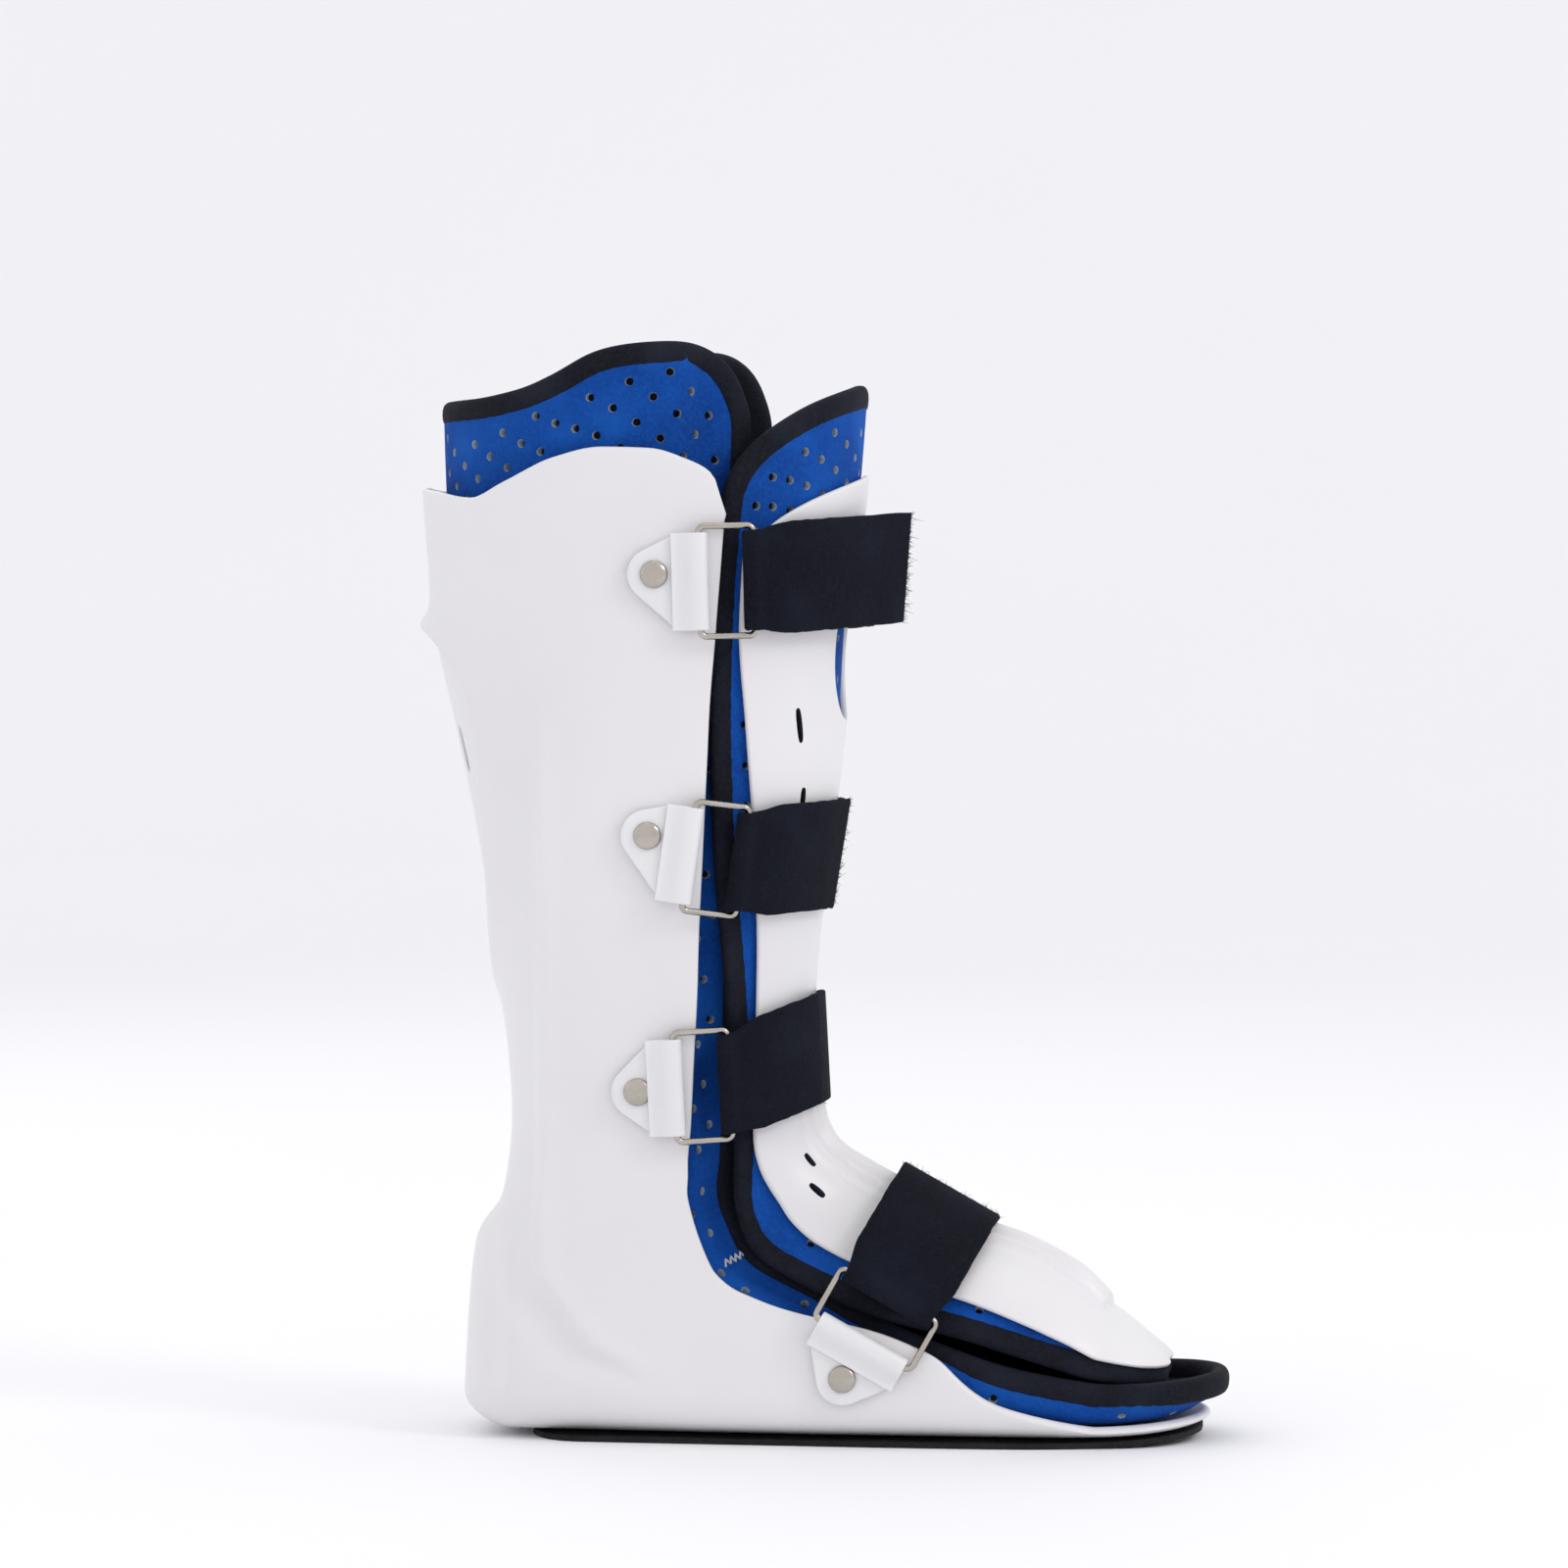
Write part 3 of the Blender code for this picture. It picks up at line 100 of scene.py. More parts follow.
LEG_COLUMNS = ("level", "back", "front", "half", "wide", "round_back", "round_front",
               "shell", "liner", "tongue", "plate")
LEG_ROWS = (
    (1.234, -0.494, 0.540, 1.020, 0.48, 2.25, 2.20, 0.722, 0.794, 0.750, 0.775),
    (1.000, -0.485, 0.515, 1.000, 0.48, 2.25, 2.20, 0.722, 0.799, 0.750, 0.776),
    (0.887, -0.473, 0.494, 0.990, 0.48, 2.25, 2.20, 0.721, 0.810, 0.748, 0.774),
    (0.779, -0.463, 0.479, 0.975, 0.48, 2.25, 2.20, 0.714, 0.818, 0.746, 0.776),
    (0.628, -0.418, 0.466, 0.935, 0.48, 2.25, 2.20, 0.690, 0.820, 0.738, 0.790),
    (0.433, -0.363, 0.433, 0.870, 0.48, 2.25, 2.20, 0.678, 0.830, 0.758, 0.827),
    (0.247, -0.323, 0.402, 0.800, 0.48, 2.25, 2.20, 0.670, 0.848, 0.804, 0.857),
    (0.108, -0.293, 0.393, 0.755, 0.47, 2.30, 2.20, 0.649, 0.849, 0.820, 0.858),
    (0.000, -0.284, 0.405, 0.735, 0.46, 2.35, 2.20, 0.622, 0.832, 0.820, 0.832),
)
FOOT_COLUMNS = ("path", "back_x", "back_z", "front_x", "front_z", "half", "wide",
                "round_back", "round_front", "shell", "liner", "tongue", "plate", "tuck")
FOOT_ROWS = (
    (0.080, -0.361, 0.760, 0.076, 0.920, 0.940, 0.44, 2.5, 2.20, 0.600, 0.806, 0.801, 0.818, 1.0),
    (0.130, -0.393, 0.610, 0.094, 0.880, 0.935, 0.42, 2.7, 2.20, 0.603, 0.793, 0.785, 0.820, 1.0),
    (0.205, -0.402, 0.379, 0.116, 0.849, 0.925, 0.40, 3.0, 2.20, 0.607, 0.776, 0.758, 0.821, 1.0),
    (0.300, -0.406, 0.104, 0.141, 0.816, 0.915, 0.40, 3.6, 2.20, 0.618, 0.764, 0.750, 0.822, 1.0),
    (0.360, -0.351, 0.000, 0.174, 0.776, 0.920, 0.40, 4.4, 2.20, 0.606, 0.752, 0.742, 0.809, 1.0),
    (0.465, -0.225, 0.000, 0.221, 0.718, 0.940, 0.39, 4.8, 2.20, 0.575, 0.718, 0.708, 0.787, 1.0),
    (0.600, -0.054, 0.000, 0.275, 0.650, 0.980, 0.38, 5.2, 2.20, 0.555, 0.628, 0.672, 0.777, 1.0),
    (0.750, 0.127, 0.000, 0.333, 0.601, 1.000, 0.37, 5.4, 2.20, 0.460, 0.488, 0.641, 0.742, 0.6),
    (0.880, 0.290, 0.000, 0.388, 0.532, 0.990, 0.35, 5.4, 2.20, 0.195, 0.372, 0.597, 0.695, 0.0),
    (1.000, 0.435, 0.000, 0.438, 0.452, 0.940, 0.32, 5.4, 2.20, 0.052, 0.310, 0.550, 0.625, 0.0),
)
TOE_TURN = math.radians(90.0)
TOE_PATH = 0.2
TOE_ROUND = 2.25
TOE_STEPS = 6
TOE_END = {"liner": 0.265, "tongue": 0.52, "plate": 0.65}
TOE_FLARE = 0.008
TONGUE_SIDE_SET = 0.0025
TONGUE_TOE_SET = 0.0155
SHELL_RIM = ((0.0, 0.0), (0.20, -0.010), (0.36, -0.027), (0.46, 0.008), (0.59, 0.061),
             (0.70, 0.082), (0.815, 0.079), (0.91, 0.053), (0.965, 0.024), (1.0, -0.060))
LINER_RIM = ((0.0, 0.0), (0.25, 0.004), (0.41, 0.023), (0.52, 0.059), (0.63, 0.109),
             (0.72, 0.122), (0.81, 0.126), (0.89, 0.115), (0.945, 0.085), (1.0, -0.010))
TONGUE_RIM = ((0.0, 0.0), (0.25, -0.015), (0.51, -0.043), (0.74, -0.091), (0.92, -0.152),
              (1.0, -0.215))
PLATE_RIM = ((0.0, 0.0), (0.28, -0.018), (0.56, -0.049), (0.81, -0.098), (1.0, -0.170))
LINER_TOP = 1.119
TONGUE_TOP = 1.147
PLATE_TOP = 1.019
PANEL_RIM = ((0.800, 0.00), (0.797, 0.30), (0.775, 0.52), (0.700, 0.64), (0.620, 0.62),
             (0.520, 0.56), (0.370, 0.43), (0.270, 0.26), (0.215, 0.00))
SIDE_LINE = ((-0.300, 0.780), (-0.302, 0.600), (-0.305, 0.250), (-0.303, 0.180),
             (-0.275, 0.145), (-0.228, 0.098), (-0.180, 0.075))
SLITS = (
    (0.0453, 0.7494, 0.0130, 15.0),
    (0.0500, 0.6734, 0.0100, 0.0),
    (0.0554, 0.2934, 0.0060, 44.0),
    (0.0674, 0.2616, 0.0071, 53.0),
)
STRAP_COLUMNS = ("name", "x", "z", "tilt", "rivet", "rivet_up", "rise", "lap", "straight")
STRAPS = (
    ("1", -0.0760, 0.902, -1.5, 0.0163, 0.0030, 0.07, 0.070, 0.034),
    ("2", -0.0925, 0.618, 8.0, 0.0158, 0.0050, 0.20, 0.052, 0.043),
    ("3", -0.1120, 0.375, -3.0, 0.0138, -0.0010, 0.32, 0.042, 0.042),
    ("4", 0.1348, 0.1104, -60.8, 0.0150, 0.0000, 0.00, 0.058, 0.058),
)
FAR_LAP = 0.026
STRAP_SPREAD = 0.0022
END_SLANT = {"1": 0.14, "2": 0.05, "3": 0.05}

# Perforations and small things of the scene alone
HOLE_RADIUS = 0.0016
HOLE_PITCH = 0.0106
HOLE_SIDES = 12
WELL_DEPTH = 0.75
WELL_RIM = 0.0005
LATTICE_TURN = math.radians(-35.4)
LINER_HOLE = (-0.05, 0.36)
TONGUE_HOLE = (0.0, 0.004)
FRAY_THREADS = 420
FRAY_RADIUS = 0.00015
ZIGZAG_TURNS = 15
ZIGZAG_HALF = 0.0013
THREAD_RADIUS = 0.00038
RIB_PITCH = 0.0068
RIB_HEIGHT = 0.0024
RIB_FIELD = 0.0010
RIB_START = (0.150, 0.110)
RIB_END = 0.124
STEP_CREST = 0.0013
TOE_DROP_OVER = (0.108, 0.150)
PLATE_LAID_OVER = (0.098, 0.110)
VENT_SIZE = (0.0045, 0.018)
VENT_OUT = 0.022
LIP_GRIP = 0.0085
BINDING_STEP = 0.0022
SIPE_PITCH = 0.0068
SIPE_DEPTH = 0.0008
CAMERA_AWAY = 2.3
CAMERA_TURN = math.radians(6.0)
CAMERA_HEIGHT = 0.3028
CAMERA_AIM = Vector((0.0036, 0.0, 0.238))
CAMERA_LENS = 143.8
TOE_DROP = 0.72
TOE_DROP_FROM = 0.024
SOLE_HEEL = -0.0885
ZIGZAG = ((-0.0149, 0.0644), (-0.0025, 0.0709))


def ramp(value, low, high):
    """Smooth step from 0 at low to 1 at high, for numbers or arrays."""
    share = np.clip((value - low) / (high - low), 0.0, 1.0)
    return share * share * (3.0 - 2.0 * share)


def smooth_curve(points):
    """Monotone cubic through (x, y) points, as a function of x."""
    xs = [point[0] for point in points]
    ys = [point[1] for point in points]
    slopes = [(ys[i + 1] - ys[i]) / (xs[i + 1] - xs[i]) for i in range(len(xs) - 1)]
    tangents = [slopes[0]]
    for before, after in zip(slopes, slopes[1:]):
        flat = before * after <= 0.0
        tangents.append(0.0 if flat else 2.0 * before * after / (before + after))
    tangents.append(slopes[-1])

    def value(x):
        if x <= xs[0]:
            return ys[0] + tangents[0] * (x - xs[0])
        if x >= xs[-1]:
            return ys[-1]
        i = max(k for k in range(len(xs) - 1) if xs[k] <= x)
        step = xs[i + 1] - xs[i]
        t = (x - xs[i]) / step
        return ((1 + 2 * t) * (1 - t) ** 2 * ys[i] + t * (1 - t) ** 2 * step * tangents[i]
                + t * t * (3 - 2 * t) * ys[i + 1] - t * t * (1 - t) * step * tangents[i + 1])

    return value


BASE = OUTSOLE + GAP
TOE_TIP = SOLE_LENGTH * (1.0 - HEEL_SHARE)


def toe_spring(x):
    """How far the sole has bent up at a place along it."""
    return TOE_SPRING * (np.maximum(0.0, x - SPRING_START) / (TOE_TIP - SPRING_START)) ** 2


def toe_reach(turn):
    """Distance from the toe pivot to the shell's outline, at a turn from sideways."""
    last = dict(zip(FOOT_COLUMNS, FOOT_ROWS[-1]))
    side = FOOT_WIDTH / 2 * last["half"]
    ahead = TOE_TIP - SOLE_LENGTH * last["back_x"]
    return ((math.cos(turn) / side) ** TOE_ROUND
            + (math.sin(turn) / ahead) ** TOE_ROUND) ** (-1.0 / TOE_ROUND)


def boot_rows():
    """All sections in metres, keyed by station: minus level, then path, then toe."""
    rows = []
    for values in LEG_ROWS:
        row = dict(zip(LEG_COLUMNS, values))
        height = ANKLE_HEIGHT + row["level"] * (SHELL_HEIGHT - ANKLE_HEIGHT)
        row.update(station=-row["level"], back_x=row["back"] * CALF_DEPTH - LEG_SETBACK,
                   front_x=row["front"] * CALF_DEPTH - LEG_SETBACK, back_z=height,
                   front_z=height, half=row["half"] * CALF_WIDTH / 2, tuck=1.0,
                   turn=0.0, tongue_set=0.0, flare=0.0)
        rows.append(row)
    for values in FOOT_ROWS:
        row = dict(zip(FOOT_COLUMNS, values))
        rise = ANKLE_HEIGHT - BASE
        row.update(station=row["path"], back_x=row["back_x"] * SOLE_LENGTH,
                   front_x=row["front_x"] * SOLE_LENGTH, back_z=BASE + row["back_z"] * rise,
                   front_z=BASE + row["front_z"] * rise, half=row["half"] * FOOT_WIDTH / 2,
                   turn=0.0, tongue_set=0.0, flare=0.0)
        rows.append(row)
    rows[-1]["tongue_set"] = TONGUE_SIDE_SET
    pivot = dict(rows[-1])
    for step in range(1, TOE_STEPS + 1):
        share = step / TOE_STEPS
        row = dict(pivot)
        row.update(station=1.0 + TOE_PATH * share, turn=TOE_TURN * share,
                   half=toe_reach(TOE_TURN * share),
                   tongue_set=TONGUE_SIDE_SET + ramp(share, 0.0, 1.0)
                   * (TONGUE_TOE_SET - TONGUE_SIDE_SET),
                   flare=TOE_FLARE * ramp(share, -0.3, 1.0))
        for layer, end in TOE_END.items():
            row[layer] = pivot[layer] + (end - pivot[layer]) * share
        rows.append(row)
    return rows


ROWS = boot_rows()
FIELDS = ("back_x", "back_z", "front_x", "front_z", "half", "wide", "round_back",
          "round_front", "shell", "liner", "tongue", "plate", "tuck", "turn",
          "tongue_set", "flare")
CURVES = {name: smooth_curve([(row["station"], row[name]) for row in ROWS]) for name in FIELDS}
LEG_RISE = SHELL_HEIGHT - ANKLE_HEIGHT


def lean(section, ahead, end):
    """Sine of the angle between the section plane and the back or front line."""
    run = Vector((ahead[end + "_x"] - section[end + "_x"], ahead[end + "_z"] - section[end + "_z"]))
    if run.length < 1e-5:
        return 1.0
    along = Vector((section["front_x"] - section["back_x"], section["front_z"] - section["back_z"]))
    return max(0.5, abs(run.normalized().cross(along.normalized())))


def section_at(station):
    """The named sizes of the section at a station."""
    section = {name: float(curve(station)) for name, curve in CURVES.items()}
    ahead = {name: CURVES[name](station + 0.004)
             for name in ("back_x", "back_z", "front_x", "front_z")}
    section["back_lean"] = lean(section, ahead, "back")
    section["front_lean"] = lean(section, ahead, "front")
    section["depth"] = math.hypot(section["front_x"] - section["back_x"],
                                  section["front_z"] - section["back_z"])
    return section


ANGLES = np.linspace(0.0, math.pi, 145)
REAR = ANGLES <= math.pi / 2 + 1e-9
COSINES = np.abs(np.cos(ANGLES))
SINES = np.abs(np.sin(ANGLES))


def outline(section, inset, rounder):
    """Half outline as arrays of share, along and out."""
    wide = section["wide"] * section["depth"]
    power = 2.0 / np.maximum(2.0, np.where(REAR, section["round_back"],
                                           section["round_front"]) * rounder)
    cosine = COSINES ** power
    sine = SINES ** power
    room = np.where(REAR, wide, section["depth"] - wide)
    sign = np.where(REAR, -1.0, 1.0)
    share = (wide + sign * room * cosine) / section["depth"]
    back, side, front = inset(section, share)
    edge = np.where(REAR, back / section["back_lean"], front / section["front_lean"])
    along = wide + sign * (room - edge) * cosine
    return share, along, np.maximum(0.0, (section["half"] - side) * sine)


def parts_of(shape, low, high, parts):
    """Points at shares of the way between two shares of the depth, by arc length."""
    share, along, out = shape
    inside = (share > low) & (share < high)
    stops = np.concatenate([[low], share[inside], [high]])
    a = np.interp(stops, share, along)
    o = np.interp(stops, share, out)
    run = np.concatenate([[0.0], np.cumsum(np.hypot(np.diff(a), np.diff(o)))])
    target = np.asarray(parts) * run[-1]
    return np.interp(target, run, a), np.interp(target, run, o)


def place(section, along, out):
    """A section's points in space, on the near side, -Y."""
    share = along / section["depth"]
    x = section["back_x"] + share * (section["front_x"] - section["back_x"])
    z = section["back_z"] + share * (section["front_z"] - section["back_z"])
    x = x + out * math.sin(section["turn"])
    return np.stack([x, -out * math.cos(section["turn"]), z + toe_spring(x)], -1)


def shell_inset(section, share):
    return 0.0, 0.0, 0.0


def tongue_inset(section, share):
    side = SHELL_WALL + TUCK_GAP + section["tongue_set"]
    return side, side, PLATE_WALL + LAYER_GAP


def plate_inset(section, share):
    side = SHELL_WALL + TUCK_GAP + section["tongue_set"] - PLATE_WALL - LAYER_GAP
    return side, side, 0.0


def liner_inset(section, share):
    """The liner lies in the shell and dives under the tongue at its front edge."""
    along = share * section["depth"]
    slack = LINER_SLACK * ramp(section["back_z"], 0.87 * SHELL_HEIGHT, SHELL_HEIGHT)
    back = SHELL_WALL + LAYER_GAP + slack
    tongue_edge = section["tongue"] * section["depth"] - BINDING_WIDTH / 2 - 0.0025
    tucked = ramp(along, tongue_edge - TUCK_LENGTH, tongue_edge) * section["tuck"]
    depth = TUCK_GAP + TONGUE_FOAM + 2 * LAYER_GAP + BINDING_PROUD
    flare = section["flare"] * ramp(along, LIP_HEIGHT, 2.5 * LIP_HEIGHT)
    snug = LINER_SIDE_GAP + 0.4 * slack
    side = SHELL_WALL + snug + (depth - LINER_SIDE_GAP) * tucked - flare
    return back, side, side + PLATE_WALL


def deeper(inset, wall):
    """The inset of a layer's inner face."""
    def inner(section, share):
        return tuple(value + wall for value in inset(section, share))
    return inner


def half_grid(stations, across, inset, ends, rim, top, fade, rounder=1.0):
    """Points (rows, across, 3) on the near side. ends gives both edges' shares."""
    lift = smooth_curve(rim)
    rows = []
    for station in stations:
        hold = 1.0 - float(ramp(station, top, fade))
        if hold == 0.0:
            section = section_at(station)
            low, high = ends(section)
            parts = across if low == 0.0 else 1.0 - across
            along, out = parts_of(outline(section, inset, rounder), low, high, parts)
            rows.append(place(section, along, out))
            continue
        row = []
        for share in across:
            section = section_at(station - lift(share) * CALF_DEPTH / LEG_RISE * hold)
            low, high = ends(section)
            part = share if low == 0.0 else 1.0 - share
            along, out = parts_of(outline(section, inset, rounder), low, high, [part])
            row.append(place(section, along, out)[0])
        rows.append(np.array(row))
    return np.array(rows)


def from_back(layer):
    return lambda section: (0.0, section[layer])


def from_front(layer):
    return lambda section: (section[layer], 1.0)


def stations_between(top, leg_count, foot_count, toe_count):
    """Even stations down the leg, round the foot and about the toes."""
    leg = np.linspace(-top, 0.0, leg_count, endpoint=False)
    foot = np.linspace(0.0, 1.0, foot_count, endpoint=False)
    return np.concatenate([leg, foot, np.linspace(1.0, 1.0 + TOE_PATH, toe_count)])


def eased(points, turns):
    """A grid smoothed along its rows, its ends kept."""
    points = points.copy()
    for _ in range(turns):
        points[1:-1] = 0.5 * points[1:-1] + 0.25 * (points[:-2] + points[2:])
    return points


def both_sides(half):
    """A half grid with its mirror image: far edge, middle, near edge."""
    far = half[:, :0:-1].copy()
    far[..., 1] *= -1.0
    full = np.concatenate([far, half], axis=1)
    full[:, half.shape[1] - 1, 1] = 0.0
    return full


def grid_normals(outer, inner):
    """Unit normals of a full grid, away from its inner face."""
    down = np.gradient(outer, axis=0)
    over = np.gradient(outer, axis=1)
    normals = np.cross(over, down)
    if np.sum(normals * (outer - inner)) < 0.0:
        normals = -normals
    lengths = np.linalg.norm(normals, axis=-1, keepdims=True)
    normals = normals / np.maximum(lengths, 1e-12)
    weak = lengths[..., 0] < 1e-10
    away = outer - inner
    normals[weak] = (away / np.maximum(np.linalg.norm(away, axis=-1, keepdims=True), 1e-12))[weak]
    return normals


def sample(grid, spots):
    """Bilinear values of a grid at fractional (row, column) spots."""
    rows = np.clip(spots[:, 0], 0, grid.shape[0] - 1.000001)
    columns = np.clip(spots[:, 1], 0, grid.shape[1] - 1.000001)
    i = rows.astype(int)
    j = columns.astype(int)
    u = (rows - i)[:, None]
    v = (columns - j)[:, None]
    return ((1 - u) * (1 - v) * grid[i, j] + (1 - u) * v * grid[i, j + 1]
            + u * (1 - v) * grid[i + 1, j] + u * v * grid[i + 1, j + 1])


def wall_grids(stations, across, inset, wall, shape, rounder=1.0):
    """A wall's outer and inner grid, on both sides and eased along their rows."""
    return [both_sides(eased(half_grid(stations, across, face, *shape, rounder=rounder), 3))
            for face in (inset, deeper(inset, wall))]


def flat_map(points, middle_length):
    """Each grid point's place on the flat pattern: across from the middle, and down it."""
    count = points.shape[1] // 2
    steps = np.linalg.norm(np.diff(points, axis=1), axis=-1)
    right = np.concatenate([np.zeros((len(points), 1)), np.cumsum(steps[:, count:], 1)], 1)
    left = np.concatenate([np.zeros((len(points), 1)), np.cumsum(steps[:, :count][:, ::-1], 1)], 1)
    across = np.concatenate([-left[:, :0:-1], right], 1)
    down = np.repeat(middle_length[:, None], points.shape[1], 1)
    return np.stack([across, down], -1)


def locate(flat, target, start):
    """Fractional grid spots of flat-pattern points, by Newton steps from a start."""
    spots = np.array(start, float)
    for _ in range(12):
        row, column = np.array((0.05, 0.0)), np.array((0.0, 0.05))
        by_row = (sample(flat, spots + row) - sample(flat, spots - row)) / 0.1
        by_column = (sample(flat, spots + column) - sample(flat, spots - column)) / 0.1
        miss = target - sample(flat, spots)
        det = by_row[:, 0] * by_column[:, 1] - by_row[:, 1] * by_column[:, 0]
        det = np.where(np.abs(det) < 1e-12, 1e-12, det)
        du = (miss[:, 0] * by_column[:, 1] - miss[:, 1] * by_column[:, 0]) / det
        dv = (by_row[:, 0] * miss[:, 1] - by_row[:, 1] * miss[:, 0]) / det
        move = np.clip(np.stack([du, dv], -1), -4.0, 4.0)
        spots = spots + move
        spots[:, 0] = np.clip(spots[:, 0], 0.0, flat.shape[0] - 1)
        spots[:, 1] = np.clip(spots[:, 1], 0.0, flat.shape[1] - 1)
    return spots


def nearest_spot(flat, target):
    """The grid spot whose flat-pattern place is closest to a target, and how far it is."""
    away = np.linalg.norm(flat - target, axis=-1)
    k = int(np.argmin(away))
    i, j = divmod(k, flat.shape[1])
    return np.array([[i, j]], float), float(away.flat[k])


def rounded_loop(centre, size, turn, power, count):
    """A closed loop on the flat pattern: an ellipse, or squarer with a higher power."""
    spots = []
    for k in range(count):
        angle = 2 * math.pi * k / count
        c, s = math.cos(angle), math.sin(angle)
        x = size[0] / 2 * math.copysign(abs(c) ** (2 / power), c)
        y = size[1] / 2 * math.copysign(abs(s) ** (2 / power), s)
        spots.append((centre[0] + x * math.cos(turn) - y * math.sin(turn),
                      centre[1] + x * math.sin(turn) + y * math.cos(turn)))
    return np.array(spots)


def slopes(grid, spot):
    """A grid's change for one row and for one column, at a spot."""
    spots = np.array([spot], float)
    by_row = sample(grid, spots + (0.5, 0.0)) - sample(grid, spots - (0.5, 0.0))
    by_column = sample(grid, spots + (0.0, 0.5)) - sample(grid, spots - (0.0, 0.5))
    return by_row[0], by_column[0]


class Layer:
    """One wall of the boot between an outer and an inner grid, with holes through it."""

    def __init__(self, outer, inner, scale):
        self.outer = outer
        self.inner = inner
        self.normals = grid_normals(outer, inner)
        self.scale = np.array(scale, float)
        self.wells = []
        self.openings = []
        run = np.linalg.norm(np.diff(outer[:, outer.shape[1] // 2], axis=0), axis=-1)
        self.flat = flat_map(outer, np.concatenate([[0.0], np.cumsum(run)]))

    def spots_round(self, centre_spot, radius):
        """Grid spots of a circle about a grid spot, by the surface's own slopes."""
        by_row, by_column = slopes(self.outer, centre_spot)
        basis = np.stack([by_row, by_column], 1)
        first = by_column / np.linalg.norm(by_column)
        normal = np.cross(by_row, by_column)
        second = np.cross(normal / np.linalg.norm(normal), first)
        inverse = np.linalg.pinv(basis)
        angles = np.arange(HOLE_SIDES) * 2 * math.pi / HOLE_SIDES
        offsets = radius * (np.cos(angles)[:, None] * first + np.sin(angles)[:, None] * second)
        return centre_spot + offsets @ inverse.T

    def build(self, name, step, edge_round, lining=0, cut_slots=()):
        """The closed mesh. Wells are blind holes, openings go right through."""
        rows, columns = self.outer.shape[:2]
        picked_rows = list(range(0, rows - 1, step[0])) + [rows - 1]
        middle = columns // 2
        side = list(range(middle, columns - 1, step[1])) + [columns - 1]
        picked_columns = sorted({2 * middle - k for k in side} | set(side))
        base = np.array([(i, j) for i in picked_rows for j in picked_columns], float)
        edge = ((base[:, 0] == 0) | (base[:, 0] == rows - 1) | (base[:, 1] == 0)
                | (base[:, 1] == columns - 1))
        made = bmesh.new()

        def skin(grid, loops, flip, wells):
            spots = [tuple(s) for s in base[edge]]
            marks = [-1] * len(spots)
            boundary = {(int(a), int(b)): k for k, (a, b) in enumerate(spots)}
            reaches = [(loop.mean(0), np.abs(loop - loop.mean(0)).max(0) * 1.08 + 0.35)
                       for loop in loops]
            tree = KDTree(max(1, len(wells)))
            for k, (centre, _, _) in enumerate(wells):
                tree.insert(sample(self.outer, centre[None])[0], k)
            tree.balance()
            inner_spots = base[~edge]
            world = sample(self.outer, inner_spots)
            for spot, point in zip(inner_spots, world):
                if wells and tree.find(point)[2] < HOLE_RADIUS + WELL_RIM + 0.0008:
                    continue
                shares = [(spot - centre) / reach for centre, reach in reaches]
                if all(share @ share >= 1.0 for share in shares):
                    spots.append(tuple(spot))
                    marks.append(-1)
            edges = []
            mark = 0
            for ring_set in [(w[1], w[2]) for w in wells] + [(loop,) for loop in loops]:
                for ring in ring_set:
                    start = len(spots)
                    for k, spot in enumerate(ring):
                        spots.append(tuple(spot))
                        marks.append(mark)
                        edges.append((start + k, start + (k + 1) % len(ring)))
                    mark += 1
            spots = np.array(spots)
            flat_spots = [Vector((s[1] * self.scale[1], s[0] * self.scale[0])) for s in spots]
            found = delaunay_2d_cdt(flat_spots, edges, [], 0, 1e-7, True)
            ids = [o[0] if o else -1 for o in found[3]]
            world = sample(grid, spots)
            verts = [made.verts.new(p) for p in world]
            drop = set(range(0, 2 * len(wells), 2)) | set(range(2 * len(wells), mark))
            for face in found[2]:
                corners = [ids[k] for k in face]
                if -1 in corners or len(set(corners)) < 3:
                    continue
                kinds = {marks[k] for k in corners}
                if len(kinds) == 1 and kinds.pop() in drop:
                    continue
                order = corners if flip else corners[::-1]
                if made.faces.get([verts[k] for k in order]) is None:
                    face = made.faces.new([verts[k] for k in order])
                    face.material_index = lining if flip else 0
            rings = {}
            for k, m in enumerate(marks):
                rings.setdefault(m, []).append(verts[k])
            return boundary, verts, rings

        loops = self.openings
        out_edge, out_verts, out_rings = skin(self.outer, loops, False, self.wells)
        in_edge, in_verts, in_rings = skin(self.inner, loops, True, [])
        self.sink_wells(made, out_rings)
        self.line_openings(made, out_rings, in_rings, cut_slots)
        self.close_rim(made, (picked_rows, picked_columns), (out_verts, out_edge),
                       (in_verts, in_edge), edge_round)
        return finish_mesh(name, made)

    def sink_wells(self, made, out_rings):
        """The blind holes' walls and floors, below the rings cut for them."""
        for k, (centre, ring, _) in enumerate(self.wells):
            top = out_rings[2 * k]
            normal = sample(self.normals, centre[None])[0]
            normal = normal / np.linalg.norm(normal)
            outer_point = sample(self.outer, centre[None])[0]
            inner_point = sample(self.inner, centre[None])[0]
            deep = np.linalg.norm(inner_point - outer_point) * WELL_DEPTH
            ring_world = sample(self.outer, ring)
            for vert, point in zip(top, ring_world):
                vert.co = point - normal * 0.00018
            last = top
            for level, shrink in ((0.16, 0.97), (0.55, 0.92), (1.0, 0.86)):
                spots = outer_point + (ring_world - outer_point) * shrink - normal * deep * level
                ring_verts = [made.verts.new(p) for p in spots]
                for a in range(HOLE_SIDES):
                    b = (a + 1) % HOLE_SIDES
                    face = made.faces.new((last[a], ring_verts[a], ring_verts[b], last[b]))
                    face.material_index = 1
                last = ring_verts
            face = made.faces.new(last[::-1])
            face.material_index = 2

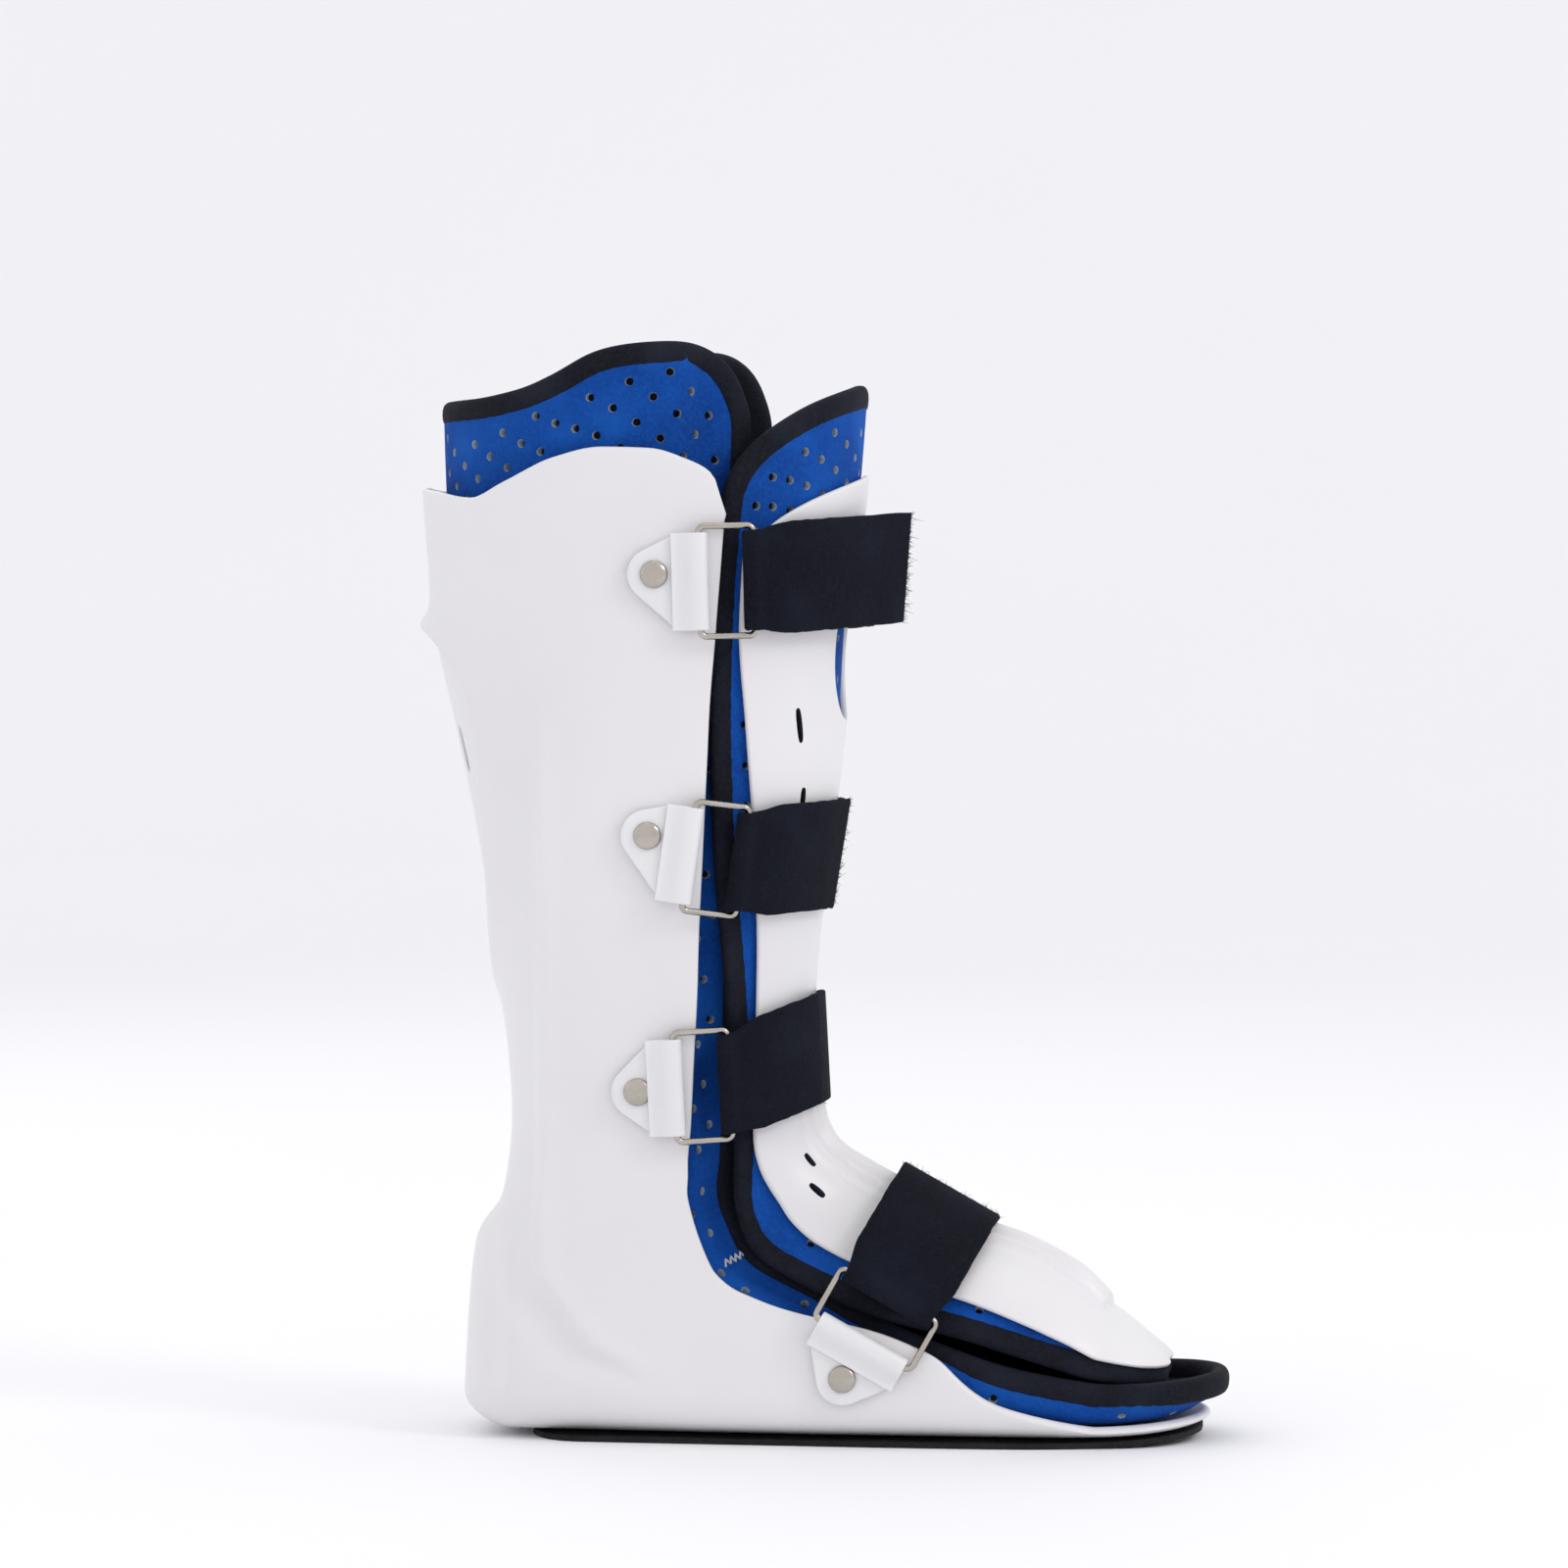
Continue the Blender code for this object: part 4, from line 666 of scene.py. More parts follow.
    def line_openings(self, made, out_rings, in_rings, cut_slots):
        """The walls of the holes that go right through."""
        offset = 2 * len(self.wells)
        for k, loop in enumerate(self.openings):
            a_ring, b_ring = out_rings[offset + k], in_rings[k]
            a_world = sample(self.outer, loop)
            b_world = sample(self.inner, loop)
            centre = a_world.mean(0)
            total = len(a_ring)
            slot = cut_slots[k] if k < len(cut_slots) else 0
            last = a_ring
            for part in (0.16, 0.5, 0.84):
                bulge = -0.0004 * math.sin(math.pi * part)
                inward = centre - a_world
                inward = inward / np.linalg.norm(inward, axis=1, keepdims=True)
                ring = [made.verts.new(p) for p in
                        a_world + (b_world - a_world) * part - inward * bulge]
                for i in range(total):
                    j = (i + 1) % total
                    made.faces.new((last[i], ring[i], ring[j], last[j])).material_index = slot
                last = ring
            for i in range(total):
                j = (i + 1) % total
                made.faces.new((last[i], b_ring[i], b_ring[j], last[j])).material_index = slot

    def close_rim(self, made, picked, outside, inside, edge_round):
        """The rounded edge from the outer to the inner face, all round but at the toe."""
        rows, columns = self.outer.shape[:2]
        picked_rows, picked_columns = picked
        (out_verts, out_edge), (in_verts, in_edge) = outside, inside
        way = ([(i, 0) for i in reversed(picked_rows)] + [(0, j) for j in picked_columns[1:]]
               + [(i, columns - 1) for i in picked_rows[1:]])
        rims = []
        for i, j in way:
            a = self.outer[i, j]
            b = self.inner[i, j]
            towards = np.zeros(3)
            if i == 0:
                v = self.outer[0, j] - self.outer[1, j]
                towards += v / max(1e-9, np.linalg.norm(v))
            if j == 0:
                v = self.outer[i, 0] - self.outer[i, 1]
                towards += v / max(1e-9, np.linalg.norm(v))
            if j == columns - 1:
                v = self.outer[i, -1] - self.outer[i, -2]
                towards += v / max(1e-9, np.linalg.norm(v))
            if i == rows - 1:
                towards[1] = 0.0
            towards = towards / max(1e-9, np.linalg.norm(towards))
            ring = [out_verts[out_edge[(i, j)]]]
            for angle in (25.0, 60.0, 90.0, 120.0, 155.0):
                c, s = math.cos(math.radians(angle)), math.sin(math.radians(angle))
                spot = (a + b) / 2 + (a - b) / 2 * c + towards * edge_round * s
                ring.append(made.verts.new(spot))
            ring.append(in_verts[in_edge[(i, j)]])
            rims.append(ring)
        for first, second in zip(rims, rims[1:]):
            for k in range(len(first) - 1):
                made.faces.new((first[k], second[k], second[k + 1], first[k + 1]))


def finish_mesh(name, made, angle=40.0, merge=2e-6):
    """A smooth-shaded object from a bmesh."""
    bmesh.ops.remove_doubles(made, verts=made.verts, dist=merge)
    bmesh.ops.dissolve_degenerate(made, dist=1e-7, edges=made.edges)
    bmesh.ops.recalc_face_normals(made, faces=made.faces)
    mesh = bpy.data.meshes.new(name)
    made.to_mesh(mesh)
    made.free()
    mesh.shade_smooth()
    if angle:
        mesh.set_sharp_from_angle(angle=math.radians(angle))
    thing = bpy.data.objects.new(name, mesh)
    bpy.context.scene.collection.objects.link(thing)
    return thing


def worn(piece, node, materials):
    """Gives a piece its materials, ties it to the root body and hides the model's node it stands for.
    """
    for each in materials:
        piece.data.materials.append(each)
    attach(piece, "root")
    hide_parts(node)
    return piece


# Materials

class Shading:
    """One material's nodes, with a short call for each kind."""

    def __init__(self, name, colour, roughness, metallic=0.0):
        self.material = bpy.data.materials.new(name)
        self.material.use_nodes = True
        self.tree = self.material.node_tree
        self.shader = self.tree.nodes["Principled BSDF"]
        self.give(Base_Color=colour, Roughness=roughness, Metallic=metallic)

    def feed(self, socket, value):
        """Links an output to a socket, or sets the socket's constant."""
        if isinstance(value, bpy.types.NodeSocket):
            self.tree.links.new(value, socket)
        elif socket.type == "RGBA":
            socket.default_value = (*value, 1.0)
        else:
            socket.default_value = value

    def give(self, **inputs):
        """Feeds the shader's sockets."""
        for name, value in inputs.items():
            self.feed(self.shader.inputs[name.replace("_", " ")], value)

    def node(self, kind, output, **inputs):
        made = self.tree.nodes.new("ShaderNode" + kind)
        for name, value in inputs.items():
            self.feed(made.inputs[name.replace("_", " ")], value)
        return made.outputs[output]

    def place(self, scale=(1.0, 1.0, 1.0)):
        return self.node("Mapping", "Vector", Vector=self.node("TexCoord", "Object"), Scale=scale)

    def noise(self, where, scale, detail=3.0, rough=0.5):
        return self.node("TexNoise", "Fac", Vector=where, Scale=scale, Detail=detail,
                         Roughness=rough)

    def ramp(self, value, *stops):
        made = self.tree.nodes.new("ShaderNodeValToRGB")
        self.feed(made.inputs["Fac"], value)
        points = made.color_ramp.elements
        while len(points) < len(stops):
            points.new(0.5)
        for point, (where, colour) in zip(points, stops):
            point.position = where
            point.color = (*colour, 1.0)
        return made.outputs["Color"]

    def range(self, value, low, high, to_low, to_high):
        return self.node("MapRange", "Result", Value=value, From_Min=low, From_Max=high,
                         To_Min=to_low, To_Max=to_high)

    def bump(self, height, strength, distance, **before):
        return self.node("Bump", "Normal", Height=height, Strength=strength, Distance=distance,
                         **before)

    def mix(self, factor, first, second):
        made = self.tree.nodes.new("ShaderNodeMix")
        made.data_type = "RGBA"
        self.feed(made.inputs["Factor"], factor)
        colours = [socket for socket in made.inputs if socket.type == "RGBA"]
        for socket, value in zip(colours, (first, second)):
            self.feed(socket, value)
        return next(socket for socket in made.outputs if socket.type == "RGBA")

    def math(self, operation, first, second):
        made = self.tree.nodes.new("ShaderNodeMath")
        made.operation = operation
        self.feed(made.inputs[0], first)
        self.feed(made.inputs[1], second)
        return made.outputs["Value"]


def dimmed(colour):
    return tuple(c * 0.86 for c in colour)


def plastic(name, colour, shade, roughness):
    """Moulded polypropylene: a soft gloss, faint flow marks, light scuffs."""
    look = Shading(name, colour, roughness)
    where = look.place()
    tone = look.ramp(look.noise(where, 9.0, 4.0), (0.3, shade), (0.7, colour))
    flow = look.noise(look.place((60.0, 60.0, 14.0)), 1.0, 5.0, 0.6)
    scuff = look.ramp(flow, (0.63, (0.0, 0.0, 0.0)), (0.74, (1.0, 1.0, 1.0)))
    look.give(Base_Color=look.mix(look.math("MULTIPLY", scuff, 0.10), tone, dimmed(colour)))
    fine = look.math("MULTIPLY", look.noise(where, 420.0, 2.0), 0.4)
    look.give(Roughness=look.range(look.math("ADD", flow, fine), 0.4, 1.1,
                                   roughness - 0.06, roughness + 0.10))
    peel = look.bump(look.noise(where, 900.0, 2.0), 0.10, 0.0002)
    look.give(Normal=look.bump(look.noise(where, 38.0, 2.0), 0.10, 0.001, Normal=peel))
    look.give(IOR=1.49, Subsurface_Weight=0.08, Subsurface_Radius=(0.004, 0.004, 0.004),
              Subsurface_Scale=1.0)
    return look.material


def cloth(name, colour, light, dark, weave, sheen, roughness=0.92):
    """Brushed fabric: mottled dye, short nap and a fine knit."""
    look = Shading(name, colour, roughness)
    where = look.place()
    tone = look.ramp(look.noise(where, 34.0, 4.0), (0.30, dark), (0.50, colour), (0.72, light))
    nap = look.noise(where, 620.0, 4.0, 0.75)
    look.give(Base_Color=look.mix(look.range(nap, 0.42, 0.75, 0.0, 0.7), tone, light))
    knit = look.node("TexVoronoi", "Distance", Vector=where, Scale=weave)
    look.give(Normal=look.bump(nap, 0.7, 0.0008, Normal=look.bump(knit, 0.5, 0.0004)))
    look.give(Sheen_Weight=sheen, Sheen_Roughness=0.45, Sheen_Tint=light,
              Specular_IOR_Level=0.2)
    return look.material


def metal(name, colour, roughness):
    look = Shading(name, colour, roughness, 1.0)
    where = look.place()
    smear = look.noise(where, 260.0, 4.0)
    look.give(Roughness=look.range(smear, 0.3, 0.7, roughness - 0.05, roughness + 0.12))
    look.give(Base_Color=look.ramp(look.noise(where, 90.0, 3.0), (0.35, dimmed(colour)),
                                   (0.65, colour)))
    look.give(Normal=look.bump(smear, 0.08, 0.0002))
    return look.material


WHITE = plastic("shell_white", (0.79, 0.775, 0.79), (0.75, 0.735, 0.755), 0.34)
TAB_WHITE = plastic("tab_white", (0.79, 0.785, 0.80), (0.75, 0.745, 0.77), 0.32)
BLUE = cloth("foam_blue", (0.002, 0.060, 0.33), (0.006, 0.095, 0.43), (0.001, 0.040, 0.245),
             1500.0, 0.16)
CORE = cloth("foam_core", (0.36, 0.42, 0.50), (0.52, 0.57, 0.62), (0.22, 0.28, 0.36),
             900.0, 0.1)
# Near-black for the floors of the blind holes, and painted shade on the walls of the plate's slits,
# whose plastic is white.
HOLE_FLOOR_AND_SLIT_SHADE = cloth("foam_dark", (0.012, 0.014, 0.022), (0.03, 0.034, 0.05), (0.006, 0.007, 0.01),
             900.0, 0.1)
EDGE = cloth("binding_black", (0.005, 0.006, 0.012), (0.013, 0.015, 0.028), (0.003, 0.003, 0.006),
             1300.0, 0.10, 0.86)
LINING = cloth("lining_black", (0.013, 0.015, 0.024), (0.03, 0.033, 0.048), (0.007, 0.008, 0.013),
               800.0, 0.2)
STRAP = cloth("strap_black", (0.0028, 0.0036, 0.0095), (0.0070, 0.0090, 0.020), (0.0015, 0.002, 0.0055),
              1000.0, 0.04)
FRAY = cloth("fray_dark", (0.014, 0.016, 0.028), (0.035, 0.04, 0.06), (0.005, 0.006, 0.011),
             1500.0, 0.1)
THREAD = cloth("thread_white", (0.62, 0.62, 0.64), (0.80, 0.80, 0.82), (0.45, 0.45, 0.47), 2600.0, 0.2)
NICKEL = metal("nickel", (0.50, 0.46, 0.41), 0.22)
RUBBER = cloth("rubber", (0.010, 0.010, 0.011), (0.022, 0.022, 0.024), (0.005, 0.005, 0.006),
               700.0, 0.0, 0.70)

# Relief

PANEL_DROP = 0.0034
PANEL_LINE = np.array([(half * CALF_WIDTH / 2, ANKLE_HEIGHT + level * LEG_RISE - PANEL_DROP)
                       for level, half in PANEL_RIM])
STEP_LINE = np.array([(x * SOLE_LENGTH, z * SHELL_HEIGHT) for x, z in SIDE_LINE])


def smooth_line(points, count):
    """A polyline's points on a smooth curve through them."""
    run = np.concatenate([[0.0], np.cumsum(np.linalg.norm(np.diff(points, axis=0), axis=1))])
    xs = smooth_curve(list(zip(run, points[:, 0])))
    ys = smooth_curve(list(zip(run, points[:, 1])))
    return np.array([(xs(t), ys(t)) for t in np.linspace(0.0, run[-1], count)])


def nearest(line, points):
    """Distances from points to a polyline, and on which side of it they lie."""
    best = np.full(len(points), 1e9)
    side = np.zeros(len(points))
    for first, second in zip(line, line[1:]):
        run = second - first
        share = np.clip((points - first) @ run / (run @ run), 0.0, 1.0)
        away = points - (first + share[:, None] * run)
        length = np.linalg.norm(away, axis=1)
        closer = length < best
        best[closer] = length[closer]
        side[closer] = (run[0] * away[:, 1] - run[1] * away[:, 0])[closer]
    return best, side


def shell_relief(points):
    """How far the shell's wall stands out from its plain form."""
    x, y, z = points.T
    panel = smooth_line(PANEL_LINE, 60)
    away, side = nearest(panel, np.stack([np.abs(y), z], 1))
    on_back = ramp(z, 0.80 * ANKLE_HEIGHT, 0.90 * ANKLE_HEIGHT)
    on_back *= ramp(x, -LEG_SETBACK + 0.01, -LEG_SETBACK)
    crest = 0.62 + 0.38 * ramp(z, 0.75 * SHELL_HEIGHT, 0.84 * SHELL_HEIGHT)
    crest = crest * (ramp(z, 0.40 * SHELL_HEIGHT, 0.62 * SHELL_HEIGHT) * 0.7 + 0.3)
    width = np.where(side < 0.0, 0.0038, 0.0052)
    raised = RIM_ROLL * crest * np.exp(-(away / width) ** 2)
    raised -= np.where(side < 0.0, PANEL_DEPTH * ramp(away, 0.0, 0.008), 0.0)
    raised *= on_back
    away, side = nearest(smooth_line(STEP_LINE, 60), np.stack([x, z], 1))
    fade = np.where(z > 0.5 * SHELL_HEIGHT,
                    ramp(z, 0.80 * SHELL_HEIGHT, 0.68 * SHELL_HEIGHT), 1.0)
    fade = fade * ramp(np.abs(y), 0.3 * FOOT_WIDTH / 2, 0.8 * FOOT_WIDTH / 2)
    fade = fade * ramp(z, 0.06 * SHELL_HEIGHT, 0.10 * SHELL_HEIGHT)
    behind = np.where(side < 0.0, away, -away)
    dip = ramp(behind, -SIDE_STEP_WIDTH / 2, SIDE_STEP_WIDTH / 2)
    dip = dip * (1.0 - ramp(behind, SIDE_STEP_WIDTH, 2.6 * SIDE_STEP_WIDTH))
    block = ramp(z, 0.086, 0.076) * ramp(z, 0.004, 0.016)
    crease = 0.5 + 0.5 * np.tanh((-0.0955 - x - 0.10 * np.maximum(0.0, z - 0.045)) / 0.0022)
    raised += 0.0011 * block * crease
    raised -= 0.0007 * block * np.exp(-((x + 0.0935) / 0.0035) ** 2)
    raised += STEP_CREST * fade * np.exp(-((behind + 0.0045) / 0.0042) ** 2)
    return raised - 1.25 * SIDE_STEP * fade * dip


def plate_relief(flat, points):
    """Lengthwise ribs down the instep and a raised field that ends in a step."""
    across = flat[:, 0]
    x, z = points[:, 0], points[:, 2]
    out = np.abs(across)
    start = ramp(z, *RIB_START)
    end = 1.0 - ramp(x, RIB_END - 0.25 * out, RIB_END + 0.003 - 0.25 * out)
    wave = 0.5 + 0.5 * np.cos(2 * math.pi * across / RIB_PITCH)
    within = 1.0 - ramp(out, 2.4 * RIB_PITCH, 2.8 * RIB_PITCH)
    field = 1.0 - ramp(out, 2.8 * RIB_PITCH, 3.2 * RIB_PITCH)
    return start * end * (RIB_HEIGHT * wave ** 1.8 * within + RIB_FIELD * field)


def shell_piece():
    across = np.linspace(0.0, 1.0, 75)
    stations = stations_between(1.0, 104, 150, 28)
    shape = (from_back("shell"), SHELL_RIM, -1.0, -0.72)
    outer, inner = wall_grids(stations, across, shell_inset, SHELL_WALL, shape)
    plain = outer.copy()
    normals = grid_normals(outer, inner)
    amount = shell_relief(outer.reshape(-1, 3)).reshape(outer.shape[:2] + (1,))
    outer = outer + normals * amount
    layer = Layer(outer, inner, (2.2, 2.0))
    level = ANKLE_HEIGHT + VENT_LEVEL * LEG_RISE
    row = int(np.argmin(np.abs(stations + VENT_LEVEL)))
    for side in (-1.0, 1.0):
        ahead = outer[row, :, 0] > -LEG_SETBACK
        column = int(np.argmin(np.abs(outer[row, :, 1] - side * VENT_OUT) + ahead))
        across_at, down_at = layer.flat[row, column]
        centre = (across_at, down_at + (outer[row, column, 2] - level))
        loop = rounded_loop(centre, VENT_SIZE, math.radians(4.0 * side), 3.0, 28)
        start = np.repeat([[row, column]], len(loop), 0)
        layer.openings.append(locate(layer.flat, loop, start))
    piece = layer.build("shell_moulded", (1, 1), 0.0010)
    return piece, plain, stations


def lattice_wells(layer, covered, origin, flat=None):
    """Puts perforations on a square lattice of the flat pattern, both sides alike."""
    pattern = layer.flat if flat is None else flat
    rows, columns = layer.outer.shape[:2]
    middle = columns // 2
    near = pattern[:, middle:]
    low = near.reshape(-1, 2).min(0)
    high = near.reshape(-1, 2).max(0)
    edge_points = np.concatenate([layer.outer[0], layer.outer[:, 0], layer.outer[:, -1]])
    c, s = math.cos(LATTICE_TURN), math.sin(LATTICE_TURN)
    reach = int(np.linalg.norm(high - low) / HOLE_PITCH) + 2
    centre = (low + high) / 2
    base = np.array(origin)
    shift = np.round(np.linalg.solve(np.array([[c, -s], [s, c]]) * HOLE_PITCH, centre - base))
    for a in range(-reach, reach + 1):
        for b in range(-reach, reach + 1):
            u, v = a + shift[0], b + shift[1]
            spot = base + HOLE_PITCH * np.array([u * c - v * s, u * s + v * c])
            if (spot < low - 0.001).any() or (spot > high + 0.001).any():
                continue
            start, away = nearest_spot(near, spot)
            if away > 0.004:
                continue
            found = locate(near, spot[None], start)[0]
            if np.linalg.norm(sample(near, found[None])[0] - spot) > 0.0006:
                continue
            i, j = found[0], found[1] + middle
            point = sample(layer.outer, np.array([[i, j]]))[0]
            away = np.linalg.norm(edge_points - point, axis=1).min()
            if away < BINDING_WIDTH / 2 + HOLE_RADIUS + 0.0007 or not covered(i, j, point):
                continue
            if abs(point[1]) < 1.6 * HOLE_RADIUS:
                continue
            for side in (1, -1):
                column = middle + side * (j - middle)
                spot_here = np.array([i, column])
                ring = layer.spots_round(spot_here, HOLE_RADIUS)
                rim = layer.spots_round(spot_here, HOLE_RADIUS + WELL_RIM)
                low_ok = rim.min(0) > 0.5
                high_ok = rim.max(0) < np.array([rows - 1.5, columns - 1.5])
                if low_ok.all() and high_ok.all():
                    layer.wells.append((spot_here, ring, rim))


def side_pattern(outer, stations):
    """The flat pattern of a side panel: as seen from the side, with its curve unrolled."""
    middle = outer.shape[1] // 2
    near = outer[:, middle:]
    result = np.zeros(near.shape[:2] + (2,))
    for i in range(len(near)):
        row = near[i]
        steps = np.linalg.norm(np.diff(row, axis=0), axis=1)
        run = np.concatenate([[0.0], np.cumsum(steps)])
        widest = int(np.argmin(row[:, 1]))
        section = section_at(float(stations[i]))
        ahead = np.array([section["front_x"] - section["back_x"],
                          section["front_z"] - section["back_z"]])
        ahead = ahead / np.linalg.norm(ahead)
        result[i] = row[widest, [0, 2]] + (run - run[widest])[:, None] * ahead
    far = result[:, :0:-1].copy()
    return np.concatenate([far, result], 1)


def liner_piece(shell_outer):
    across = np.linspace(0.0, 1.0, 75)
    stations = stations_between(LINER_TOP, 112, 130, 26)
    shape = (from_back("liner"), LINER_RIM, -LINER_TOP, -0.72)
    outer, inner = wall_grids(stations, across, liner_inset, FOAM, shape, LINER_ROUNDER)
    layer = Layer(outer, inner, (2.2, 2.2))
    tree = tree_of(shell_outer)

    def shows(i, j, point):
        if stations[min(int(i), len(stations) - 1)] > 0.97:
            return point[2] > BASE + LIP_GRIP
        away = tree.find_nearest(Vector(point))
        over = Vector(point) - away[0]
        edge = over - away[1] * over.dot(away[1])
        free = edge.length > 0.0005 or point[2] > SHELL_HEIGHT - 0.03
        return free or point[0] > 0.03 and point[2] > 0.03

    lattice_wells(layer, shows, LINER_HOLE, side_pattern(outer, stations))
    piece = layer.build("liner_foam", (2, 2), 0.0, lining=3)
    return piece, layer


def tree_of(grid):
    rows, columns = grid.shape[:2]
    faces = [(i * columns + j, i * columns + j + 1, (i + 1) * columns + j + 1, (i + 1) * columns + j)
             for i in range(rows - 1) for j in range(columns - 1)]
    return BVHTree.FromPolygons([Vector(p) for p in grid.reshape(-1, 3)], faces)


def toe_drop(outer, inner):
    """Lowers the tongue over the toes to the slope that the photograph shows."""
    share = ramp(outer[..., 0], *TOE_DROP_OVER)
    drop = TOE_DROP * share * np.maximum(0.0, outer[..., 2] - TOE_DROP_FROM)
    outer, inner = outer.copy(), inner.copy()
    outer[..., 2] -= drop
    inner[..., 2] -= drop
    return outer, inner


def laid_over(points, tree, height):
    """Toe points of the plate set at a height over the tongue's face."""
    moved = points.copy()
    for spot in np.argwhere(points[..., 0] > PLATE_LAID_OVER[0]):
        point = points[tuple(spot)]
        weight = float(ramp(point[0], *PLATE_LAID_OVER))
        hit, normal = tree.find_nearest(Vector(point))[:2]
        if normal.z < 0.0:
            normal = -normal
        moved[tuple(spot)] = point * (1.0 - weight) + np.array(hit + normal * height) * weight
    return moved


def tongue_piece():
    across = np.linspace(0.0, 1.0, 39)
    stations = stations_between(TONGUE_TOP, 112, 90, 24)
    shape = (from_front("tongue"), TONGUE_RIM, -TONGUE_TOP, -0.80)
    outer, inner = toe_drop(*wall_grids(stations, across, tongue_inset, TONGUE_FOAM, shape))
    layer = Layer(outer, inner, (2.2, 2.2))
    lattice_wells(layer, lambda i, j, point: True, TONGUE_HOLE)
    piece = layer.build("tongue_foam", (2, 2), 0.0, lining=3)
    return piece, layer


def plate_piece(tongue_tree):
    across = np.linspace(0.0, 1.0, 49)
    stations = stations_between(PLATE_TOP, 120, 110, 24)
    shape = (from_front("plate"), PLATE_RIM, -PLATE_TOP, -0.72)
    dropped = toe_drop(*wall_grids(stations, across, plate_inset, PLATE_WALL, shape))
    outer = laid_over(dropped[0], tongue_tree, LAYER_GAP + PLATE_WALL)
    inner = laid_over(dropped[1], tongue_tree, LAYER_GAP)
    normals = grid_normals(outer, inner)
    plain = Layer(outer, inner, (2.0, 2.0))
    amount = plate_relief(plain.flat.reshape(-1, 2), outer.reshape(-1, 3))
    amount = amount.reshape(outer.shape[:2] + (1,))
    layer = Layer(outer + normals * amount, inner, (2.0, 2.0))
    middle = outer.shape[1] // 2
    row = int(np.argmin(np.abs(stations + WINDOW_LEVEL)))
    window = rounded_loop((0.0, plain.flat[row, middle, 1]), (WINDOW_WIDTH * 1.02, WINDOW_HEIGHT),
                          0.0, 2.3, 64)
    layer.openings.append(locate(plain.flat, window, np.repeat([[row, middle]], 64, 0)))
    tree = tree_of(outer)
    near = outer[:, middle:]
    for x, z, length, lean_back in SLITS:
        hit = tree.ray_cast(Vector((x * SOLE_LENGTH, -CALF_WIDTH, z * SHELL_HEIGHT)),
                            Vector((0.0, 1.0, 0.0)))[0]
        away = np.linalg.norm(near - np.array(hit), axis=-1)
        i, j = divmod(int(np.argmin(away)), near.shape[1])
        turn = math.radians(lean_back)
        along = np.array([-math.sin(turn), 0.0, math.cos(turn)])
        for side in (1, -1):
            column = middle + side * j
            along_side = along * np.array([1.0, -side if side < 0 else 1.0, 1.0])
            spot = np.array([i, column], float)
            by_row, by_column = slopes(outer, spot)
            normal = np.cross(by_row, by_column)
            normal = normal / np.linalg.norm(normal)
            first = along_side - normal * (along_side @ normal)
            first = first / np.linalg.norm(first)
            second = np.cross(normal, first)
            inverse = np.linalg.pinv(np.stack([by_row, by_column], 1))
            loop = []
            for k in range(20):
                angle = 2 * math.pi * k / 20
                c, s = math.cos(angle), math.sin(angle)
                u = length / 2 * math.copysign(abs(c) ** 0.8, c)
                v = SLIT_WIDTH / 2 * math.copysign(abs(s) ** 0.55, s)
                loop.append(spot + inverse @ (first * u + second * v))
            layer.openings.append(np.array(loop))
    # The window's walls take the white plastic; the slits' walls take the near-black second slot, which
    # is painted shade in the narrow cuts.
    piece = layer.build("plate_moulded", (1, 1), 0.0008, cut_slots=[0] + [1] * (2 * len(SLITS)))
    return piece, layer


def binding_piece(name, outer, inner, foam):
    """A padded tape wrapped round a layer's free edge."""
    rows, columns = outer.shape[:2]
    way = ([(i, 0) for i in range(rows - 1, -1, -1)] + [(0, j) for j in range(1, columns)]
           + [(i, columns - 1) for i in range(1, rows - 1)])
    a = np.array([outer[i, j] for i, j in way])
    b = np.array([inner[i, j] for i, j in way])
    middle = (a + b) / 2
    through = a - b
    run = np.concatenate([[0.0], np.cumsum(np.linalg.norm(np.diff(
        np.vstack([middle, middle[:1]]), axis=0), axis=1))])
    count = int(run[-1] / BINDING_STEP)
    at = np.arange(count) * run[-1] / count

    def round_again(values):
        values = np.stack([np.interp(at, run, np.append(values[:, k], values[0, k]))
                           for k in range(3)], 1)
        for _ in range(6):
            values = 0.5 * values + 0.25 * (np.roll(values, 1, 0) + np.roll(values, -1, 0))
        return values

    middle = round_again(middle)
    through = round_again(through)
    along = np.roll(middle, -1, 0) - np.roll(middle, 1, 0)
    along = along / np.linalg.norm(along, axis=1, keepdims=True)
    out = through - along * np.sum(through * along, 1, keepdims=True)
    thick = np.linalg.norm(out, axis=1)
    out = out / thick[:, None]
    side = np.cross(along, out)
    dice = random.Random(7)
    made = bmesh.new()
    loops = []
    sides = 20
    half_thick = foam / 2 + BINDING_PROUD
    pucker = [dice.uniform(-1.0, 1.0) for _ in range(count)]
    for k in range(count):
        swell = 1.0 + 0.02 * pucker[k] + 0.015 * math.sin(k * 1.9)
        ring = []
        for s in range(sides):
            angle = 2 * math.pi * s / sides
            c, v = math.cos(angle), math.sin(angle)
            u = BINDING_WIDTH / 2 * math.copysign(abs(c) ** 0.82, c)
            w = half_thick * math.copysign(abs(v) ** 0.72, v) * swell
            ring.append(made.verts.new(Vector(middle[k] + side[k] * u + out[k] * w)))
        loops.append(ring)
    for first, second in zip(loops, loops[1:] + loops[:1]):
        for s in range(sides):
            made.faces.new((first[s], first[(s + 1) % sides], second[(s + 1) % sides], second[s]))
    return finish_mesh(name, made)


# Fittings and straps

def seat(tree, x, z):
    return tree.ray_cast(Vector((x, -CALF_WIDTH, z)), Vector((0.0, 1.0, 0.0)))[0]


